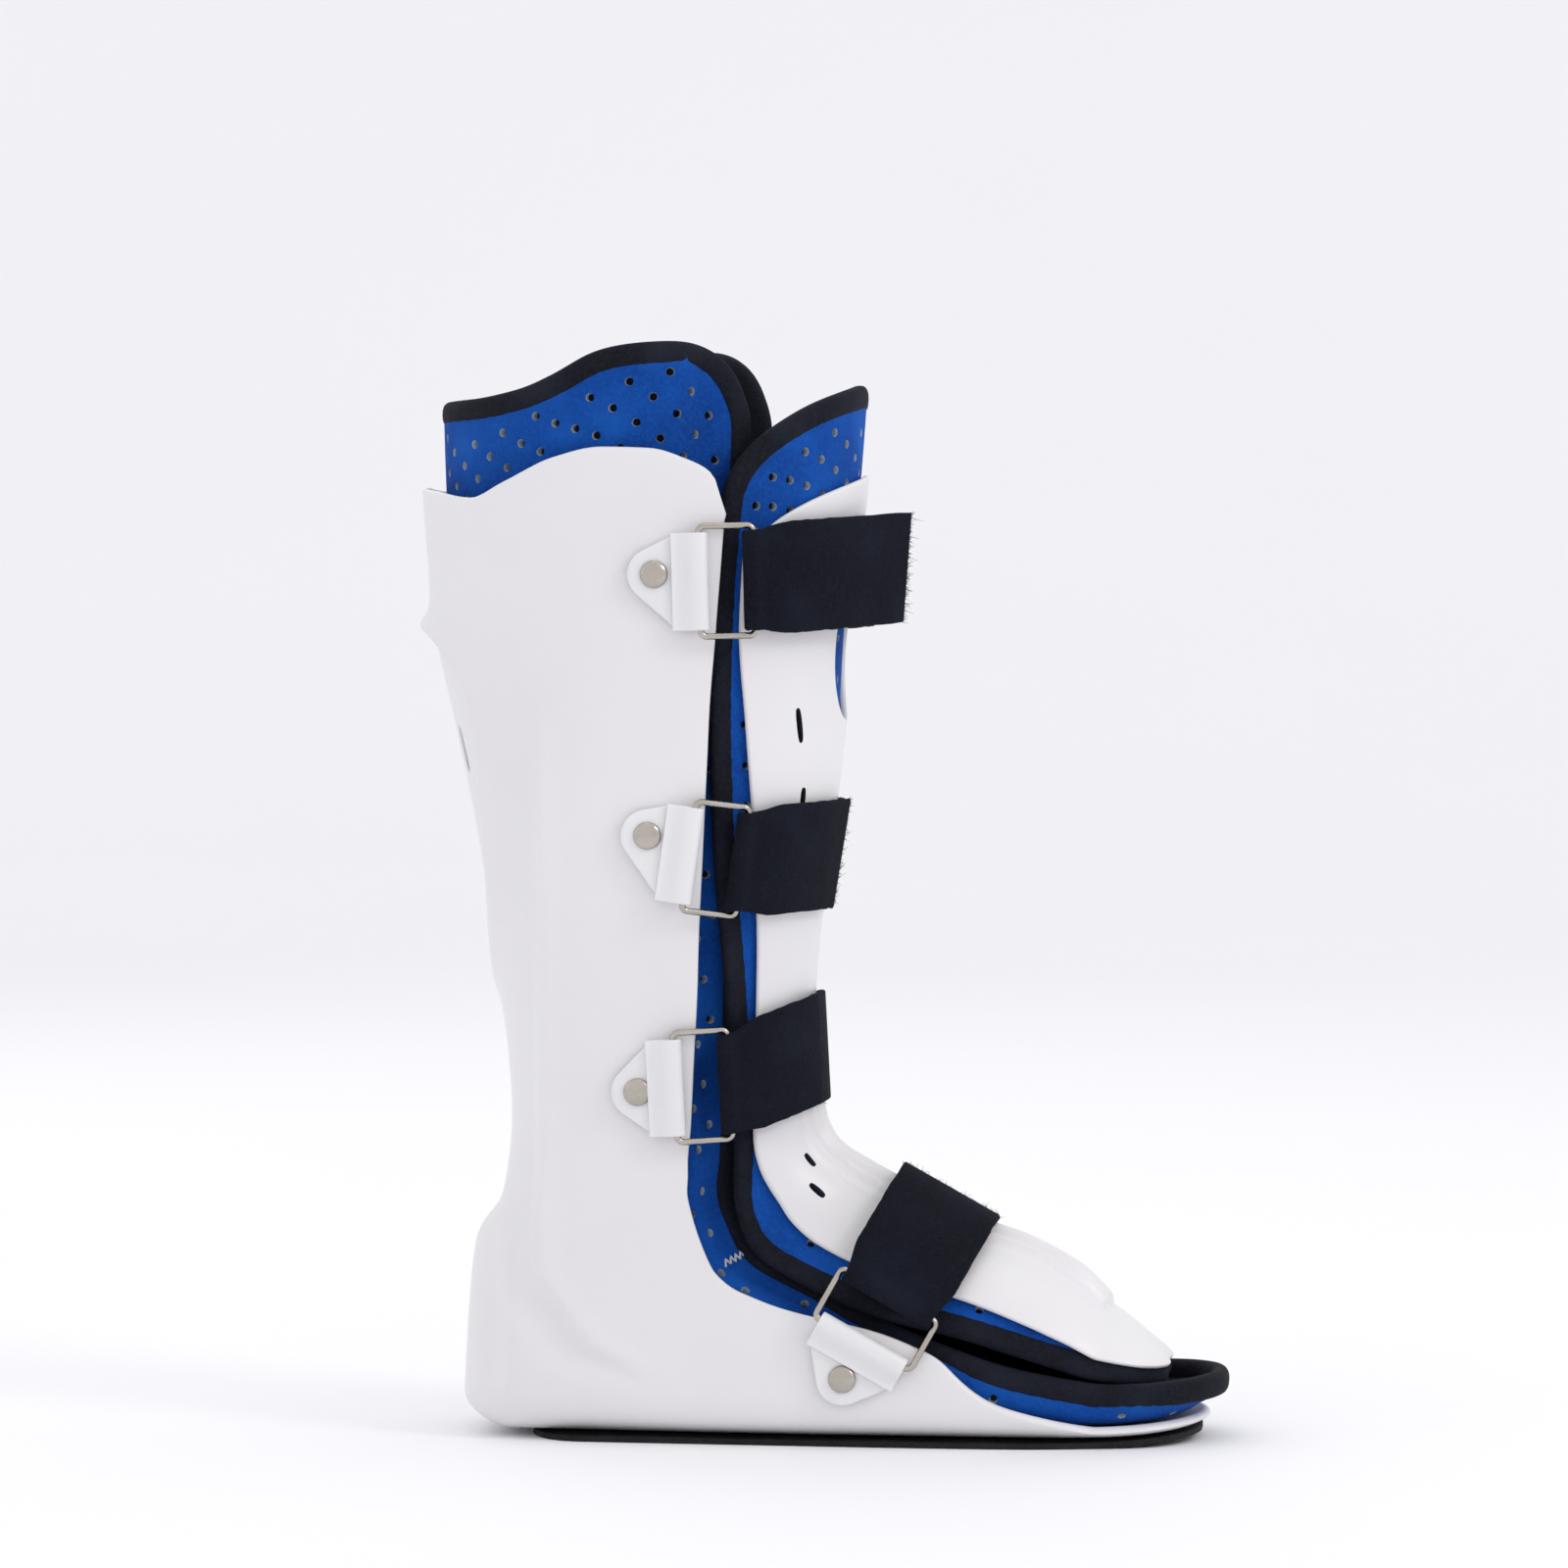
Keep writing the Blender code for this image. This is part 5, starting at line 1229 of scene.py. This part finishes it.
class Fitting:
    """Where one strap's ring, tab and rivet sit on the near side."""

    def __init__(self, values, tree):
        for name, value in zip(STRAP_COLUMNS, values):
            setattr(self, name, value)
        tilt = math.radians(self.tilt)
        self.tree = tree
        self.centre = Vector((self.x * SOLE_LENGTH, 0.0, self.z * SHELL_HEIGHT))
        self.up = Vector((math.sin(tilt), 0.0, math.cos(tilt)))
        self.ahead = Vector((math.cos(tilt), 0.0, -math.sin(tilt)))
        self.bar_height = GAP + TAB_THICK + 2 * GAP + WIRE / 2
        bar = self.on_shell(0.0, 0.0)
        rivet = self.on_shell(-self.rivet, self.rivet_up)
        run = bar - rivet
        self.run = (run - self.up * run.dot(self.up)).normalized()
        self.normal = self.run.cross(self.up)
        if self.normal.y > 0.0:
            self.normal = -self.normal
        reach = self.rivet + TAB_END_RADIUS
        proud = max((self.on_shell(WIRE - reach * i / 6, TAB_WIDTH / 2 * j / 3) - bar).dot(self.normal)
                    for i in range(7) for j in range(-3, 4)
                    if abs(TAB_WIDTH / 2 * j / 3) <= tab_half_width(self, WIRE - reach * i / 6) + WIRE)
        self.foot = bar + self.normal * proud
        self.bar = self.foot + self.normal * self.bar_height

    def on_shell(self, ahead, up):
        spot = self.centre + self.ahead * ahead + self.up * up
        return seat(self.tree, spot.x, spot.z)

    def spot(self, ahead, up, height):
        return self.foot + self.run * ahead + self.up * up + self.normal * height


def tab_half_width(fitting, ahead):
    """Half the tab's width: round at the rivet, widening to the ring's bar."""
    away = ahead + fitting.rivet
    if away < 0.0:
        inside = max(0.0, TAB_END_RADIUS ** 2 - away ** 2)
        return math.sqrt(inside)
    share = min(1.0, away / (fitting.rivet - TAB_FOLD))
    return TAB_END_RADIUS + share * (TAB_WIDTH / 2 - TAB_END_RADIUS)


def skin_rings(made, rings, closed):
    loops = [[made.verts.new(p) for p in ring] for ring in rings]
    count = len(loops[0])
    pairs = list(zip(loops, loops[1:])) + ([(loops[-1], loops[0])] if closed else [])
    for first, second in pairs:
        for k in range(count):
            made.faces.new((first[k], first[(k + 1) % count], second[(k + 1) % count], second[k]))
    if not closed:
        made.faces.new(loops[0])
        made.faces.new(loops[-1][::-1])
    return loops


def strip_section(half, thick, corner, steps=3):
    """Points round a flat strip's section, with rounded edges."""
    spots = []
    half = max(half, 0.0007)
    corner = min(corner, half * 0.9, thick / 2 * 0.999)
    for sx, sy, start in ((1, 1, 0), (-1, 1, 90), (-1, -1, 180), (1, -1, 270)):
        for k in range(steps + 1):
            angle = math.radians(start + 90.0 * k / steps)
            spots.append((sx * (half - corner) + corner * math.cos(angle),
                          sy * (thick / 2 - corner) + corner * math.sin(angle)))
    return spots


def finish_side(kind, fitting, side_name, made, angle):
    """A fitting's object: as built for the near side, mirrored for the far one."""
    if side_name == "far":
        bmesh.ops.scale(made, verts=made.verts, vec=(1.0, -1.0, 1.0))
    return finish_mesh(f"{kind}_{fitting.name}_{side_name}", made, angle)


def sides_at(shape, ahead):
    """The lowest and highest place of a closed outline at one place along it."""
    found = []
    for a, b in zip(shape, shape[1:] + shape[:1]):
        if min(a.x, b.x) <= ahead <= max(a.x, b.x) and abs(a.x - b.x) > 1e-9:
            found.append(a.y + (ahead - a.x) / (b.x - a.x) * (b.y - a.y))
    return min(found), max(found)


def tab_piece(fitting, side_name):
    bend = WIRE / 2 + 2 * GAP + TAB_THICK / 2
    low = GAP + TAB_THICK / 2
    half = TAB_WIDTH / 2
    shape = hull([(-fitting.rivet + TAB_END_RADIUS * math.cos(t),
                   fitting.rivet_up + TAB_END_RADIUS * math.sin(t))
                  for t in (2 * math.pi * k / 64 for k in range(64))]
                 + [(-TAB_FOLD, half), (-TAB_FOLD, -half)])
    end = -fitting.rivet - TAB_END_RADIUS
    aheads = [end + 0.00002] + [end + TAB_END_RADIUS * (1.0 - math.cos(math.pi / 2 * k / 14))
                                for k in range(1, 15)]
    aheads += [-fitting.rivet + (fitting.rivet - TAB_FOLD) * k / 12 for k in range(1, 12)]
    route = [(ahead, low, *sides_at(shape, ahead)) for ahead in aheads]
    route.append((-TAB_FOLD, low, -half, half))
    for k in range(1, 7):
        route.append((-TAB_FOLD * (1 - k / 6), low, -half, half))
    for k in range(1, 12):
        turn = math.radians(-90.0 + 180.0 * k / 12)
        route.append((bend * math.cos(turn), fitting.bar_height + bend * math.sin(turn), -half, half))
    top = fitting.bar_height + bend
    rest = low + TAB_THICK + GAP
    for k in range(0, 9):
        share = k / 8
        drop = float(ramp(share, 0.12, 0.80))
        route.append((-1.25 * TAB_FOLD * share, top + (rest - top) * drop, -half, half))
    rings = []
    for i, (ahead, height, side_low, side_high) in enumerate(route):
        before = route[max(0, i - 1)]
        after = route[min(len(route) - 1, i + 1)]
        run = Vector((after[0] - before[0], after[1] - before[1])).normalized()
        shift = Vector((-run.y, run.x))
        middle = (side_low + side_high) / 2
        ring = []
        for across, thick in strip_section((side_high - side_low) / 2, TAB_THICK, 0.0006):
            ring.append(fitting.spot(ahead + thick * shift.x, middle + across,
                                     height + thick * shift.y))
        rings.append(ring)
    made = bmesh.new()
    skin_rings(made, rings, False)
    return finish_side("tab_plate", fitting, side_name, made, 55.0)


def ring_piece(fitting, side_name, tip):
    run = tip - fitting.bar
    run = (run - fitting.up * run.dot(fitting.up)).normalized()
    out = fitting.up.cross(run)
    half = RING_WIDTH / 2
    corner = RING_CORNER
    path = []
    for centre_run, centre_up, start in ((RING_DEPTH - corner, half - corner, 0.0),
                                         (corner, half - corner, 90.0),
                                         (corner, corner - half, 180.0),
                                         (RING_DEPTH - corner, corner - half, 270.0)):
        for k in range(9):
            turn = math.radians(start + 90.0 * k / 8)
            path.append(fitting.bar + run * (centre_run + corner * math.cos(turn))
                        + fitting.up * (centre_up + corner * math.sin(turn)))
    rings = []
    for i, point in enumerate(path):
        along = (path[(i + 1) % len(path)] - path[i - 1]).normalized()
        inward = along.cross(out).normalized()
        rings.append([point + (inward * math.cos(t) + out * math.sin(t)) * (WIRE / 2)
                      for t in (2 * math.pi * k / 18 for k in range(18))])
    made = bmesh.new()
    skin_rings(made, rings, True)
    return finish_side("ring_wire", fitting, side_name, made, 60.0)


def rivet_piece(fitting, side_name):
    point = fitting.spot(-fitting.rivet, fitting.rivet_up, 0.0)
    base = GAP + TAB_THICK + 0.5 * GAP
    turned = fitting.normal.to_track_quat("Z", "Y")
    head = RIVET_HEAD / 2
    profile = [(0.0019, base - 0.0012), (0.0019, base), (head - 0.0004, base), (head, base + 0.0002),
               (head, base + 0.0005)]
    for k in range(1, 10):
        angle = math.radians(90.0 * k / 9)
        profile.append((head * math.cos(angle) ** 0.9,
                        base + 0.0005 + (RIVET_DOME - 0.0005) * math.sin(angle)))
    rings = []
    for radius, height in profile[:-1]:
        rings.append([point + turned @ Vector((radius * math.cos(2 * math.pi * k / 36),
                                              radius * math.sin(2 * math.pi * k / 36), height))
                      for k in range(36)])
    made = bmesh.new()
    skin_rings(made, rings, False)
    return finish_side("rivet_head", fitting, side_name, made, 60.0)


def hull(points):
    """Convex hull of 2D points, counter-clockwise."""
    ordered = sorted(set((round(float(p[0]), 7), round(float(p[1]), 7)) for p in points))

    def chain(sequence):
        kept = []
        for p in sequence:
            while len(kept) > 1 and ((kept[-1][0] - kept[-2][0]) * (p[1] - kept[-2][1])
                                     - (kept[-1][1] - kept[-2][1]) * (p[0] - kept[-2][0])) <= 0:
                kept.pop()
            kept.append(p)
        return kept[:-1]

    return [Vector(p) for p in chain(ordered) + chain(reversed(ordered))]


def band_points(pieces, fitting):
    """What lies under a strap's band, as (ahead, out) points."""
    limit = STRAP_WIDTH / 2 + STRAP_SPREAD + 0.001
    found = []
    for each in pieces:
        points = np.zeros(len(each.data.vertices) * 3)
        each.data.vertices.foreach_get("co", points)
        offset = points.reshape(-1, 3) - np.array(fitting.centre)
        ahead = offset @ np.array(fitting.ahead)
        up = offset @ np.array(fitting.up) - fitting.rise * np.maximum(0.0, ahead - RING_DEPTH)
        kept = (np.abs(up) < limit) & (ahead > 0.0)
        found.append(np.stack([ahead[kept], offset[kept, 1]], 1))
    return hull(np.concatenate(found))


def swollen(points, amount):
    turns = [2 * math.pi * k / 32 for k in range(32)]
    return [(p[0] + amount * math.cos(t), p[1] + amount * math.sin(t)) for p in points for t in turns]


def front_chain(points, start):
    """The hull from a point on the near side, round the front, to its mirror."""
    ring = hull(list(points) + [(start.x, start.y), (start.x, -start.y)])
    first = min(range(len(ring)), key=lambda k: (ring[k] - start).length)
    chain = []
    for k in range(len(ring)):
        point = ring[(first + k) % len(ring)]
        chain.append(point)
        if k and (point - Vector((start.x, -start.y))).length < 1e-6:
            break
    return chain


def even(chain, step):
    """A chain's points again, evenly spaced and a little eased."""
    points = np.array([(p.x, p.y) for p in chain])
    run = np.concatenate([[0.0], np.cumsum(np.linalg.norm(np.diff(points, axis=0), axis=1))])
    count = max(2, int(run[-1] / step))
    at = np.linspace(0.0, run[-1], count + 1)
    points = np.stack([np.interp(at, run, points[:, k]) for k in (0, 1)], 1)
    for _ in range(6):
        points[1:-1] = 0.5 * points[1:-1] + 0.25 * (points[:-2] + points[2:])
    return [Vector(p) for p in points]


def walk(chain, distance):
    """The first part of a chain, up to a length."""
    kept = [chain[0]]
    left = distance
    for first, second in zip(chain, chain[1:]):
        span = (second - first).length
        if span >= left:
            kept.append(first + (second - first) * (left / span))
            return kept
        kept.append(second)
        left -= span
    return kept


def offset_chain(chain, amount):
    """A chain moved to its outer side, on the right of its run."""
    moved = []
    for i, point in enumerate(chain):
        before = chain[max(0, i - 1)]
        after = chain[min(len(chain) - 1, i + 1)]
        run = (after - before).normalized()
        moved.append(point + Vector((run.y, -run.x)) * amount)
    return moved


def strap_route(fitting, under):
    """The strap's middle line in its own plane, and the ring's free bar."""
    bar = Vector(((fitting.bar - fitting.centre).dot(fitting.ahead), fitting.bar.y))
    wrap = WIRE / 2 + 2 * GAP + STRAP_THICK / 2
    inner_gap = STRAP_GAP + STRAP_THICK / 2
    taut = front_chain(swollen(under, inner_gap + wrap), bar)
    tip = walk(taut, RING_DEPTH)[-1]
    run = (tip - bar).normalized()
    tip = bar + run * RING_DEPTH
    outward = Vector((run.y, -run.x))
    inner_start = tip - outward * wrap
    inner = even(front_chain(swollen(under, inner_gap), inner_start), 0.003)
    outer = offset_chain(inner, STRAP_THICK + LAP_GAP)
    lap = walk(outer, fitting.straight)
    free = lap[1:]
    if fitting.lap > fitting.straight:
        last = (lap[-1] - lap[-2]).normalized()
        extra = fitting.lap - fitting.straight
        free = free + [lap[-1] + last * (extra * k / 6) for k in range(1, 7)]
    back = walk(outer, FAR_LAP)[1:]
    around = []
    for step in range(1, 12):
        turn = math.pi * step / 12
        around.append(tip - outward * (wrap * math.cos(turn)) - run * (wrap * math.sin(turn)))
    outer_start = tip + outward * wrap
    near_half = list(reversed(free)) + [outer_start] + list(reversed(around))

    def flip(points):
        return [Vector((p.x, -p.y)) for p in points]

    return near_half + inner + flip(around) + flip([outer_start]) + flip(back), tip


def strap_piece(fitting, under):
    """One band round both rings, with soft edges and cut ends."""
    route, tip = strap_route(fitting, under)
    dice = random.Random(int(fitting.name))
    made = bmesh.new()
    rings = []
    for i, point in enumerate(route):
        before = route[max(0, i - 1)]
        after = route[min(len(route) - 1, i + 1)]
        run = (after - before).normalized()
        out = Vector((run.y, -run.x))
        end = i in (0, len(route) - 1)
        ring = []
        width = STRAP_WIDTH / 2 + dice.uniform(-0.0003, 0.0001)
        width += STRAP_SPREAD * float(ramp(point.x - tip.x, 0.0005, 0.012))
        cut = max(0.0, 1.0 - i / 8) * END_SLANT.get(fitting.name, 0.0) if i < 8 else 0.0
        for across, thick in strip_section(width, STRAP_THICK * (0.75 if end else 1.0), 0.0009, 4):
            spot = point + out * thick - run * (cut * across)
            lift = across + fitting.rise * max(0.0, point.x - tip.x)
            ring.append(Vector((0.0, spot.y, 0.0)) + fitting.centre + fitting.ahead * spot.x
                        + fitting.up * lift)
        rings.append(ring)
    skin_rings(made, rings, False)
    strap = finish_mesh(f"strap_band_{fitting.name}", made, 60.0)
    free_bar = fitting.centre + fitting.ahead * tip.x + Vector((0.0, tip.y, 0.0))
    return strap, free_bar, rings


def fibre(made, root, along, length, radius, dice):
    """A hair-thin bent thread."""
    bend = Vector((dice.uniform(-1, 1), dice.uniform(-1, 1), dice.uniform(-1, 1))) * 0.35
    side = along.orthogonal().normalized()
    up = along.cross(side)
    rings = []
    for k in range(4):
        share = k / 3
        centre = root + (along + bend * share) * (length * share)
        thin = radius * (1.0 - 0.75 * share)
        rings.append([centre + (side * math.cos(t) + up * math.sin(t)) * thin
                      for t in (2 * math.pi * s / 3 for s in range(3))])
    skin_rings(made, rings, False)


def fray_piece(fitting, rings):
    """Loose threads along a strap's cut end."""
    dice = random.Random(40 + int(fitting.name))
    made = bmesh.new()
    end, after = rings[0], rings[1]
    centre = sum(end, Vector()) / len(end)
    away = (centre - sum(after, Vector()) / len(after)).normalized()
    low = min(range(len(end)), key=lambda k: (end[k] - centre).dot(fitting.up))
    high = max(range(len(end)), key=lambda k: (end[k] - centre).dot(fitting.up))
    for _ in range(FRAY_THREADS):
        share = dice.random()
        root = end[low].lerp(end[high], share) - away * 0.0006
        root = root + fitting.up.cross(away) * dice.uniform(-0.7, 0.7) * STRAP_THICK / 2
        along = (away + fitting.up * dice.uniform(-0.5, 0.5)).normalized()
        length = dice.uniform(0.0008, 0.0022) + 0.004 * dice.random() ** 9
        fibre(made, root, along, length, FRAY_RADIUS, dice)
    return finish_mesh(f"strap_fray_{fitting.name}", made, 0.0, 0.0)


def zigzag_piece(liner_outer):
    """A white zigzag stitch across each side of the liner's ankle corner."""
    tree = tree_of(liner_outer)
    made = bmesh.new()
    start = Vector((ZIGZAG[0][0], 0.0, ZIGZAG[0][1]))
    end = Vector((ZIGZAG[1][0], 0.0, ZIGZAG[1][1]))
    run = end - start
    across = Vector((-run.z, 0.0, run.x)).normalized()
    for side in (-1.0, 1.0):
        normal = Vector((0.0, side, 0.0))
        corners = []
        for k in range(ZIGZAG_TURNS + 1):
            lean_over = ZIGZAG_HALF if k % 2 else -ZIGZAG_HALF
            spot = start + run * (k / ZIGZAG_TURNS) + across * lean_over
            hit = tree.ray_cast(Vector((spot.x, side * CALF_WIDTH, spot.z)), -normal,
                                CALF_WIDTH)[0]
            if hit is not None:
                corners.append(hit)
        path = []
        for a, b in zip(corners, corners[1:]):
            for s in range(6):
                share = s / 6
                lift = 0.00010 + 0.00035 * math.sin(math.pi * share)
                path.append(a.lerp(b, share) + normal * lift)
        rings = []
        for i, point in enumerate(path):
            along = (path[min(i + 1, len(path) - 1)] - path[max(i - 1, 0)]).normalized()
            other = along.cross(normal).normalized()
            rings.append([point + (normal * math.sin(t) + other * math.cos(t)) * THREAD_RADIUS
                          for t in (2 * math.pi * k / 8 for k in range(8))])
        skin_rings(made, rings, False)
    return finish_mesh("liner_zigzag", made, 60.0, 0.0)


def outsole_piece(shell_outer):
    """A flat tread under the shell, bent up with its toe, with sipes below."""
    low = shell_outer.reshape(-1, 3)
    low = low[low[:, 2] < BASE + TOE_SPRING + LIP_HEIGHT]
    ring = hull(low[:, :2])
    edge = [p * (1.0 - OUTSOLE_INSET / p.length) for p in ring]
    front = max(p.x for p in edge)
    back = SOLE_HEEL
    end_round = 0.024

    def half_at(x):
        best = 0.0
        for a, b in zip(edge, edge[1:] + edge[:1]):
            if min(a.x, b.x) <= x <= max(a.x, b.x) and a.x != b.x:
                best = max(best, abs(a.y + (x - a.x) / (b.x - a.x) * (b.y - a.y)))
        away = max(0.0, 1.0 - (x - back) / end_round)
        return best * (1.0 - away ** 2.4) ** (1 / 2.4)

    count = 360
    xs = []
    for k in range(count + 1):
        share = 0.5 - 0.5 * math.cos(math.pi * k / count)
        share = 0.75 * k / count + 0.25 * share
        xs.append(back + 0.0002 + (front - back - 0.0004) * share)
    columns = 41
    made = bmesh.new()
    tops, bottoms = [], []
    for x in xs:
        half = max(0.002, half_at(x))
        spring = float(toe_spring(x))
        top, bottom = [], []
        for c in range(columns):
            y = half * math.sin(math.pi / 2 * (2 * c / (columns - 1) - 1))
            wave = 0.0022 * math.sin(y / 0.0075 * math.pi)
            groove = abs(((x + wave) / SIPE_PITCH) % 1.0 - 0.5)
            depth = SIPE_DEPTH * float(ramp(0.16 - groove, -0.03, 0.03))
            depth *= float(ramp(half - abs(y), 0.004, 0.006))
            top.append(made.verts.new((x, y, spring + OUTSOLE)))
            bottom.append(made.verts.new((x, y, spring + depth)))
        tops.append(top)
        bottoms.append(bottom)
    for i in range(count):
        for c in range(columns - 1):
            made.faces.new((tops[i][c], tops[i + 1][c], tops[i + 1][c + 1], tops[i][c + 1]))
            made.faces.new((bottoms[i][c], bottoms[i][c + 1], bottoms[i + 1][c + 1], bottoms[i + 1][c]))
        for c in (0, columns - 1):
            made.faces.new((tops[i][c], bottoms[i][c], bottoms[i + 1][c], tops[i + 1][c]))
    for i in (0, count):
        for c in range(columns - 1):
            made.faces.new((tops[i][c], tops[i][c + 1], bottoms[i][c + 1], bottoms[i][c]))
    return finish_mesh("outsole_tread", made, 35.0)


def main():
    shell, shell_plain, shell_stations = shell_piece()
    worn(shell, "rear_shell", [WHITE])
    worn(outsole_piece(shell_plain), "outsole", [RUBBER])
    liner, liner_layer = liner_piece(shell_plain)
    worn(liner, "rear_liner", [BLUE, CORE, HOLE_FLOOR_AND_SLIT_SHADE, LINING])
    worn(zigzag_piece(liner_layer.outer), "rear_liner", [THREAD])
    tongue, tongue_layer = tongue_piece()
    worn(tongue, "front_liner", [BLUE, CORE, HOLE_FLOOR_AND_SLIT_SHADE, LINING])
    plate, plate_layer = plate_piece(tree_of(tongue_layer.outer))
    worn(plate, "front_shell", [WHITE, HOLE_FLOOR_AND_SLIT_SHADE])
    edges = []
    for name, layer, foam, node in (
            ("liner_binding", liner_layer, FOAM, "rear_liner_binding"),
            ("tongue_binding", tongue_layer, TONGUE_FOAM, "front_liner_binding")):
        edge = binding_piece(name, layer.outer, layer.inner, foam)
        worn(edge, node, [EDGE])
        edges.append(edge)
    rest = half_grid(shell_stations, np.linspace(1.0, 0.0, 30), shell_inset, from_front("shell"),
                     SHELL_RIM, 1.0, 1.3)
    middle = shell_plain.shape[1] // 2
    near = np.concatenate([shell_plain[:, middle:], rest[:, 1:]], 1)
    tree = tree_of(near)
    for values in STRAPS:
        fitting = Fitting(values, tree)
        under = band_points([shell, plate, tongue, edges[1]], fitting)
        strap, free_bar, rings = strap_piece(fitting, under)
        worn(strap, f"strap_{fitting.name}", [STRAP])
        worn(fray_piece(fitting, rings), f"strap_{fitting.name}", [FRAY])
        for side_name in ("near", "far"):
            worn(tab_piece(fitting, side_name), f"tab_{fitting.name}_{side_name}",
                 [TAB_WHITE])
            worn(ring_piece(fitting, side_name, free_bar), f"ring_{fitting.name}_{side_name}",
                 [NICKEL])
            worn(rivet_piece(fitting, side_name), f"rivet_{fitting.name}_{side_name}",
                 [NICKEL])


def stage_and_camera():
    """A pale sweep, soft lights and a camera at the photograph's angle."""
    made = bmesh.new()
    rows = []
    for k in range(25):
        y = -4.0 + 7.0 * min(1.0, k / 12)
        z = 0.0
        if k > 12:
            turn = math.radians(90.0 * (k - 12) / 12)
            y = 3.0 + 2.0 * math.sin(turn)
            z = 2.0 - 2.0 * math.cos(turn)
        rows.append([made.verts.new((x, y, z)) for x in (-6.0, 6.0)])
    rows.append([made.verts.new((x, 5.0, 7.0)) for x in (-6.0, 6.0)])
    for first, second in zip(rows, rows[1:]):
        made.faces.new((first[0], first[1], second[1], second[0]))
    floor = finish_mesh("floor", made, 0.0)
    look = Shading("floor_pale", (0.93, 0.93, 0.95), 0.8)
    look.give(Base_Color=look.ramp(look.noise(look.place(), 2.0, 2.0), (0.3, (0.93, 0.93, 0.95)),
                                   (0.7, (0.94, 0.94, 0.96))))
    floor.data.materials.append(look.material)

    world = bpy.data.worlds.new("studio")
    world.use_nodes = True
    back = world.node_tree.nodes["Background"]
    back.inputs["Color"].default_value = (1.0, 1.0, 1.012, 1.0)
    back.inputs["Strength"].default_value = 0.93
    bpy.context.scene.world = world

    def light(name, place_at, aim, size, power):
        data = bpy.data.lights.new(name, "AREA")
        data.shape = "RECTANGLE"
        data.size, data.size_y = size
        data.energy = power
        lamp = bpy.data.objects.new(name, data)
        lamp.location = place_at
        lamp.rotation_euler = (Vector(aim) - Vector(place_at)).to_track_quat("-Z", "Y").to_euler()
        bpy.context.scene.collection.objects.link(lamp)

    light("key", (2.1, -1.1, 1.7), (0.0, 0.0, 0.2), (0.7, 0.7), 11.0)
    light("fill", (-1.9, -1.3, 1.1), (0.0, 0.0, 0.2), (1.2, 1.6), 1.0)
    light("rim", (-1.0, 1.6, 1.5), (0.0, 0.0, 0.2), (1.2, 1.2), 3.0)
    light("top", (0.3, 0.2, 2.4), (0.0, 0.0, 0.0), (1.6, 1.6), 4.0)

    data = bpy.data.cameras.new("view")
    data.sensor_width = 36.0
    data.lens = CAMERA_LENS
    data.clip_start = 0.05
    data.clip_end = 50.0
    camera = bpy.data.objects.new("view", data)
    camera.location = (CAMERA_AIM.x + CAMERA_AWAY * math.sin(CAMERA_TURN),
                       -CAMERA_AWAY * math.cos(CAMERA_TURN), CAMERA_HEIGHT)
    camera.rotation_euler = (CAMERA_AIM - camera.location).to_track_quat("-Z", "Y").to_euler()
    bpy.context.scene.collection.objects.link(camera)
    bpy.context.scene.camera = camera
    bpy.context.scene.view_settings.view_transform = "Standard"


main()
stage_and_camera()
